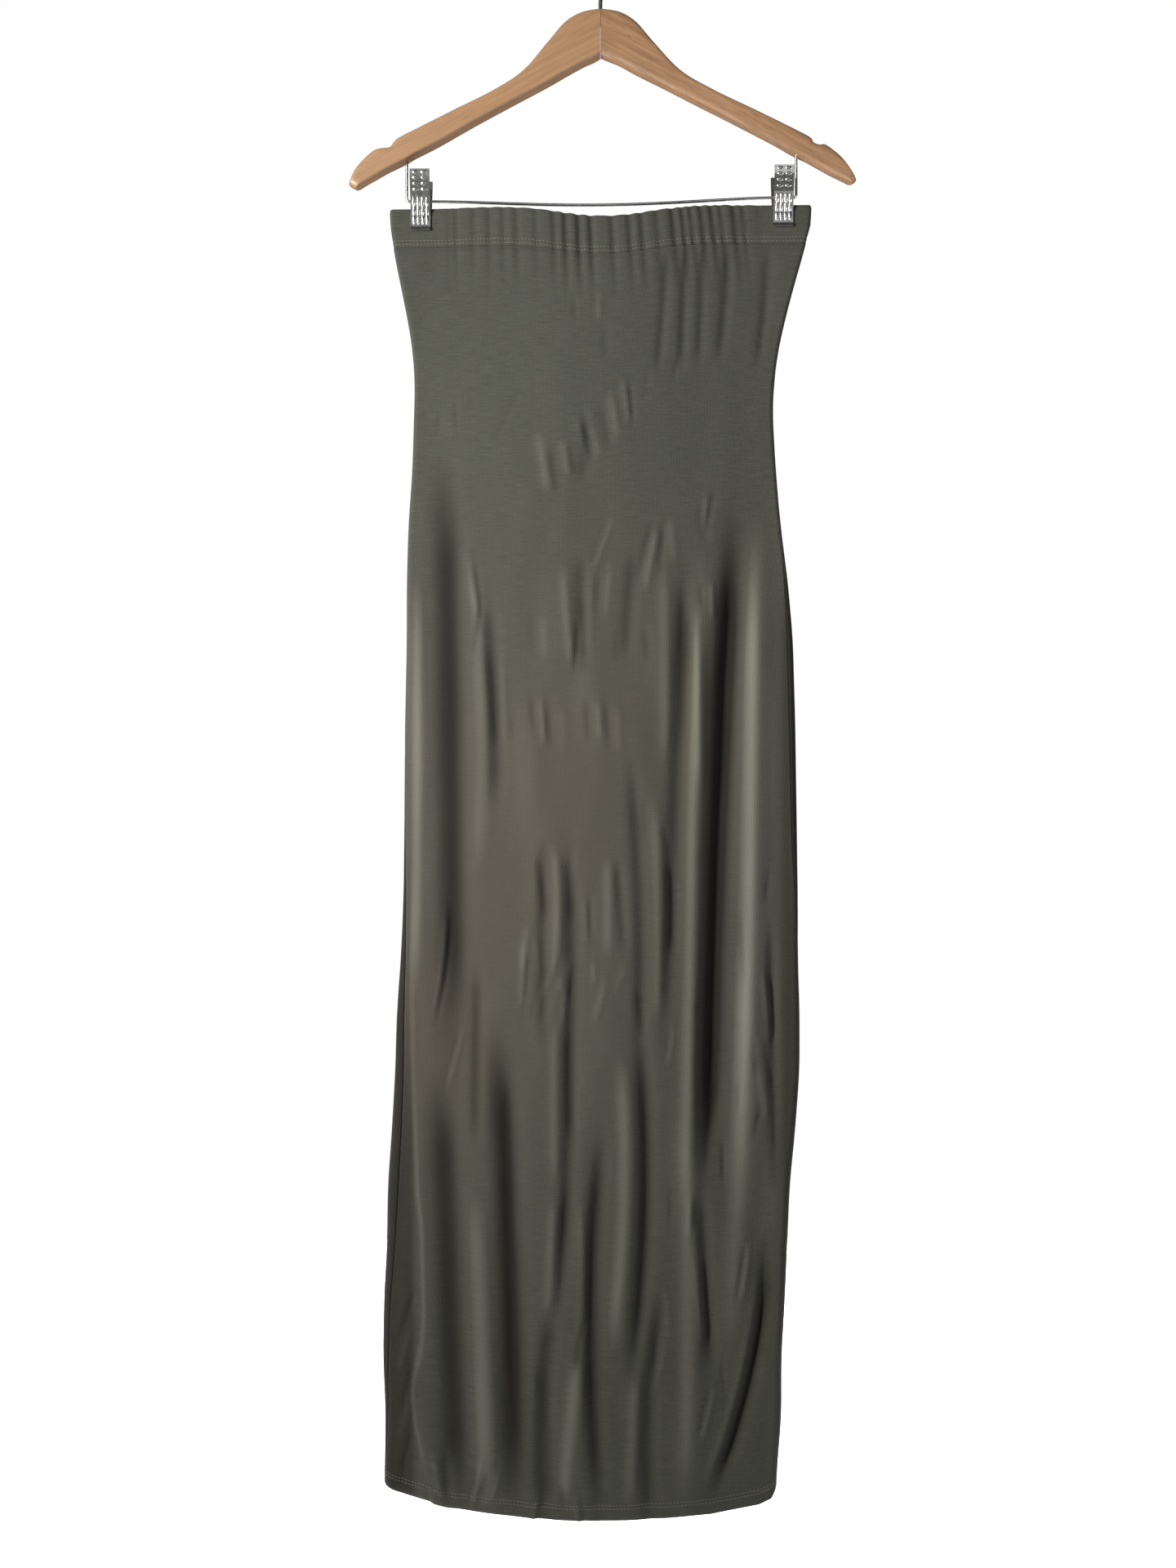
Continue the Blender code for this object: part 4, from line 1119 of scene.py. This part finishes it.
def add_arm(name, stations, top_round, low_round, material, stand_for):
    """One arm, wrapped from a grid of stations by turns."""
    count, turns = 110, 40
    work = bmesh.new()
    bmesh.ops.create_grid(work, x_segments=count, y_segments=turns, size=0.5)
    for vertex in work.verts:
        share, turn = vertex.co.x + 0.5, vertex.co.y + 0.5
        half_thick = ARM_HALF_THICK - share - 2.4 * max(0.0, (share - 0.965) / 0.035) ** 2
        station = between_stations(stations, share)
        spot = section_spot(station, half_thick, top_round, low_round, turn)
        vertex.co = metres(spot)
    bmesh.ops.remove_doubles(work, verts=work.verts, dist=0.00002)
    rim = [edge for edge in work.edges if edge.is_boundary]
    bmesh.ops.holes_fill(work, edges=rim, sides=0)
    bmesh.ops.recalc_face_normals(work, faces=work.faces)
    mesh = mesh_from(work, name)
    arm = linked(name, mesh, material)
    mesh.set_sharp_from_angle(angle=math.radians(50.0))
    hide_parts(stand_for)
    print(name, "faces:", len(mesh.polygons))
    return arm


left_arm = add_arm("hanger_left_arm", LEFT_ARM, 3.0, 0.9, light_wood, "left_arm")
right_arm = add_arm("hanger_right_arm", RIGHT_ARM, 3.0, 2.6, brown_wood, "right_arm")

# %% [markdown]
# ## Hook, bar and clips
#
# The wires are drawn as curves with a round bevel, along the same bends as their solids. A clip is
# pressed from sheet steel: its lower part has upright flutes that stiffen it, and its upper part
# has small raised pads for the fingers.

# %% Wires
HOOK_RADIUS = 1.7
BAR_RADIUS = 1.2
BAR_BEND = 3.0
BAR_SAG = 4.5
LEG_X = (-170.6, 168.5)
ARM_JOINT_X = -2.0
CLIP_CENTRES = {"left": (-158.0, -228.0), "right": (156.6, -224.5)}


def arc_points(centre, radius, start, end, count):
    """Points on an arc in the XZ plane, angles in degrees from +X."""
    angles = np.radians(np.linspace(start, end, count))
    return [(centre[0] + radius * math.cos(a), 0.0, centre[1] + radius * math.sin(a)) for a in angles]


def add_wire(name, path, radius, stand_for):
    curve = bpy.data.curves.new(name, "CURVE")
    curve.dimensions = "3D"
    curve.bevel_depth = radius * MM
    curve.bevel_resolution = 5
    curve.use_fill_caps = True
    spline = curve.splines.new("POLY")
    spline.points.add(len(path) - 1)
    for point, spot in zip(spline.points, path):
        point.co = (*metres(spot), 1.0)
    spline.use_smooth = True
    wire = bpy.data.objects.new(name, curve)
    curve.materials.append(steel)
    bpy.context.scene.collection.objects.link(wire)
    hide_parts(stand_for)
    return wire


def hook_path():
    loop = 20.0 + HOOK_RADIUS
    path = [(ARM_JOINT_X, 0.0, -75.0), (ARM_JOINT_X, 0.0, -62.0), (ARM_JOINT_X, 0.0, -54.0)]
    path += [(-1.2, 0.0, -50.0), (1.6, 0.0, -45.5), (6.4, 0.0, -41.2)]
    path += arc_points((0.0, -20.0), loop, -52.0, 200.0, 60)
    return path


def bar_path():
    (left_clip, left_z), (right_clip, right_z) = CLIP_CENTRES["left"], CLIP_CENTRES["right"]
    left_x, right_x = LEG_X
    path = [(left_x, 0.0, -179.0), (left_x, 0.0, -204.0), (left_x, 0.0, left_z + 6.0)]
    path += arc_points((left_x + BAR_BEND, left_z + BAR_BEND), BAR_BEND, 180.0, 270.0, 9)
    path += [(left_clip, 0.0, left_z)]
    for share in np.linspace(0.0, 1.0, 31):
        x = left_clip + 10.0 + share * (right_clip - left_clip - 20.0)
        sag = BAR_SAG * math.sin(math.pi * share) ** 1.5
        path.append((x, 0.0, left_z + share * (right_z - left_z) - sag))
    path += [(right_clip, 0.0, right_z)]
    path += arc_points((right_x - BAR_BEND, right_z + BAR_BEND), BAR_BEND, 270.0, 360.0, 9)
    path += [(right_x, 0.0, right_z + 6.0), (right_x, 0.0, -200.0), (right_x, 0.0, -177.0)]
    return path


hook = add_wire("hanger_hook", hook_path(), HOOK_RADIUS, "hook")
bar = add_wire("hanger_bar", bar_path(), BAR_RADIUS, "clip_bar")
print("wires:", hook.name, bar.name)

# %% Relief on the jaws
def jaw_face(height):
    """How far the jaw's outer face stands from the middle plane at a height from the bar."""
    heights = (-26.5, -23.5, -14.0, -8.0, 2.0, 16.0, 23.0)
    depths = (6.1, 5.1, 5.1, 6.4, 8.6, 12.6, 13.0)
    return float(np.interp(height, heights, depths))


def add_bump(work, x, z, half_wide, half_tall, face, centre_z, proud):
    """One raised bead on a jaw: a squashed ball, sunk halfway into the steel."""
    depth = jaw_face(z - centre_z)
    rise = jaw_face(z - centre_z + half_tall) - jaw_face(z - centre_z - half_tall)
    slope = math.atan2(rise, 2.0 * half_tall)
    place = Matrix.Translation(Vector((x, face * depth, z)) * MM)
    turn = Matrix.Rotation(-face * slope, 4, "X")
    size = Matrix.Diagonal((half_wide * MM, proud * MM, half_tall * MM, 1.0))
    matrix = place @ turn @ size
    bmesh.ops.create_uvsphere(work, u_segments=20, v_segments=14, radius=1.0, matrix=matrix)


def add_relief(side_name, face, tail):
    """Flutes and finger pads on one jaw."""
    centre_x, centre_z = CLIP_CENTRES[side_name]
    work = bmesh.new()
    for place in range(4):
        x = centre_x - 5.7 + 3.8 * place
        for part in range(3):
            add_bump(work, x, centre_z - 3.5 - 7.0 * part, 1.35, 4.6, face, centre_z, 0.75)
    for row in range(4):
        for column in range(2):
            x = centre_x - 3.6 + 7.2 * column
            add_bump(work, x, centre_z + 6.4 + 4.6 * row, 2.7, 1.5, face, centre_z, 0.8)
    name = f"{side_name}_jaw_relief_{tail}"
    return linked(name, mesh_from(work, name), steel)


reliefs = [
    add_relief(side_name, face, tail)
    for side_name in CLIP_CENTRES
    for face, tail in ((FRONT, "front"), (BACK, "back"))
]
for name in nodes:
    if "clip_" in name and name != "clip_bar":
        solid = nodes[name]
        solid.data.materials.clear()
        solid.data.materials.append(steel)
        if "jaw" in name:
            soft = solid.modifiers.new("soft edges", "BEVEL")
            soft.width = 0.25 * MM
            soft.segments = 2
            soft.limit_method = "ANGLE"
            soft.angle_limit = math.radians(28.0)
        else:
            solid.data.polygons.foreach_set("use_smooth", [True] * len(solid.data.polygons))
print("reliefs:", len(reliefs))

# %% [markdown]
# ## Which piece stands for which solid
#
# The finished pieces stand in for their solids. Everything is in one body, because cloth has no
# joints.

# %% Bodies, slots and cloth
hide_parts("front_panel")
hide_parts("back_panel")
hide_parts("casing_front")
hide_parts("casing_back")
cloth_pieces = [front_panel, back_panel, hem_front, hem_back, casing_front, casing_back]
stitch_pieces = [casing_stitches_front, casing_stitches_back, hem_stitches_front, hem_stitches_back]
slots = {
    "jersey": cloth_pieces + stitch_pieces,
    "light_wood": [left_arm],
    "brown_wood": [right_arm],
    "bright_steel": [hook, bar, *reliefs],
}
for slot_name, pieces in slots.items():
    for piece in pieces:
        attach(piece, "root")
print("cloth pieces:", len(cloth_pieces))

# %% [markdown]
# ## Floor, light and camera
#
# The dress hangs in front of nothing, over a plain pale floor. Most of the light comes from a
# softbox on the left, whose narrow spread lets it fall off towards the hem. Weaker ones on the
# right and in front keep the shadows open. The camera stands about level with the middle of the
# dress, 1.15 m in front of it.

# %% Stage
def add_floor():
    work = bmesh.new()
    bmesh.ops.create_grid(work, x_segments=2, y_segments=2, size=6.0)
    mesh = mesh_from(work, "floor")
    finish = Finish("pale_floor")
    grain = finish.noise(finish.place(), 6.0, 3.0, 0.5)
    finish.colour(finish.mixed(grain, (0.86, 0.86, 0.86), (0.90, 0.90, 0.90)))
    finish.set(Roughness=0.9)
    floor = linked("floor", mesh, finish.material)
    floor.location = (0.0, -0.9, -1.75)
    floor.scale = (1.0, 0.45, 1.0)


def add_world(seen, ambient):
    """A white surround for the camera, and a dimmer one that lights the cloth."""
    world = bpy.data.worlds.new("studio")
    bpy.context.scene.world = world
    world.use_nodes = True
    tree = world.node_tree
    background = tree.nodes["Background"]
    background.inputs["Color"].default_value = (1.0, 1.0, 1.0, 1.0)
    background.inputs["Strength"].default_value = ambient
    bright = tree.nodes.new("ShaderNodeBackground")
    bright.inputs["Strength"].default_value = seen
    path = tree.nodes.new("ShaderNodeLightPath")
    mix = tree.nodes.new("ShaderNodeMixShader")
    bright.inputs["Color"].default_value = (1.0, 1.0, 1.0, 1.0)
    tree.links.new(path.outputs["Is Camera Ray"], mix.inputs[0])
    tree.links.new(background.outputs[0], mix.inputs[1])
    tree.links.new(bright.outputs[0], mix.inputs[2])
    tree.links.new(mix.outputs[0], tree.nodes["World Output"].inputs["Surface"])


def add_light(name, location, target, size, power, spread, colour=(1.0, 1.0, 1.0)):
    """A softbox; a narrower spread lets the light fall off sooner beside its target."""
    light = bpy.data.lights.new(name, "AREA")
    light.spread = math.radians(spread)
    light.shape = "RECTANGLE"
    light.size, light.size_y = size
    light.energy = power
    light.color = colour
    lamp = bpy.data.objects.new(name, light)
    lamp.location = location
    lamp.rotation_euler = (Vector(target) - Vector(location)).to_track_quat("-Z", "Y").to_euler()
    bpy.context.scene.collection.objects.link(lamp)


CAMERA_AT = (-0.0128, -1.15, -0.735)
FOCAL_PIXELS = 1617.0
IMAGE_TALL = 1920.0
LIGHT_Z = -0.58
KEY_COLOUR = (1.0, 0.99, 0.96)

add_floor()
add_world(1.0, 0.04)
add_light(
    "key softbox", (-1.6, -1.3, LIGHT_Z), (0.02, 0.0, LIGHT_Z), (0.3, 0.7), 18.0, 76.0, KEY_COLOUR
)
add_light("right softbox", (1.5, -0.9, LIGHT_Z), (0.0, 0.0, LIGHT_Z), (0.3, 0.7), 2.2, 84.0)
add_light("front fill", (0.3, -2.4, 0.2), (0.0, 0.0, LIGHT_Z), (1.2, 0.8), 0.8, 90.0)
add_light("hanger light", (-0.9, -1.0, 0.25), (0.0, 0.0, -0.15), (0.4, 0.3), 1.1, 60.0)
add_light("floor wash", (0.0, 1.2, -0.9), (0.0, 1.2, -1.75), (8.0, 1.8), 190.0, 180.0)
camera_data = bpy.data.cameras.new("camera")
camera_data.sensor_fit = "AUTO"
camera_data.sensor_width = 36.0
camera_data.lens = 36.0 * FOCAL_PIXELS / IMAGE_TALL
camera = bpy.data.objects.new("camera", camera_data)
camera.location = CAMERA_AT
camera.rotation_euler = (0.5 * math.pi, 0.0, 0.0)
bpy.context.scene.collection.objects.link(camera)
bpy.context.scene.camera = camera
bpy.context.scene.view_settings.view_transform = "Standard"
print("camera lens:", round(camera_data.lens, 2), "mm")
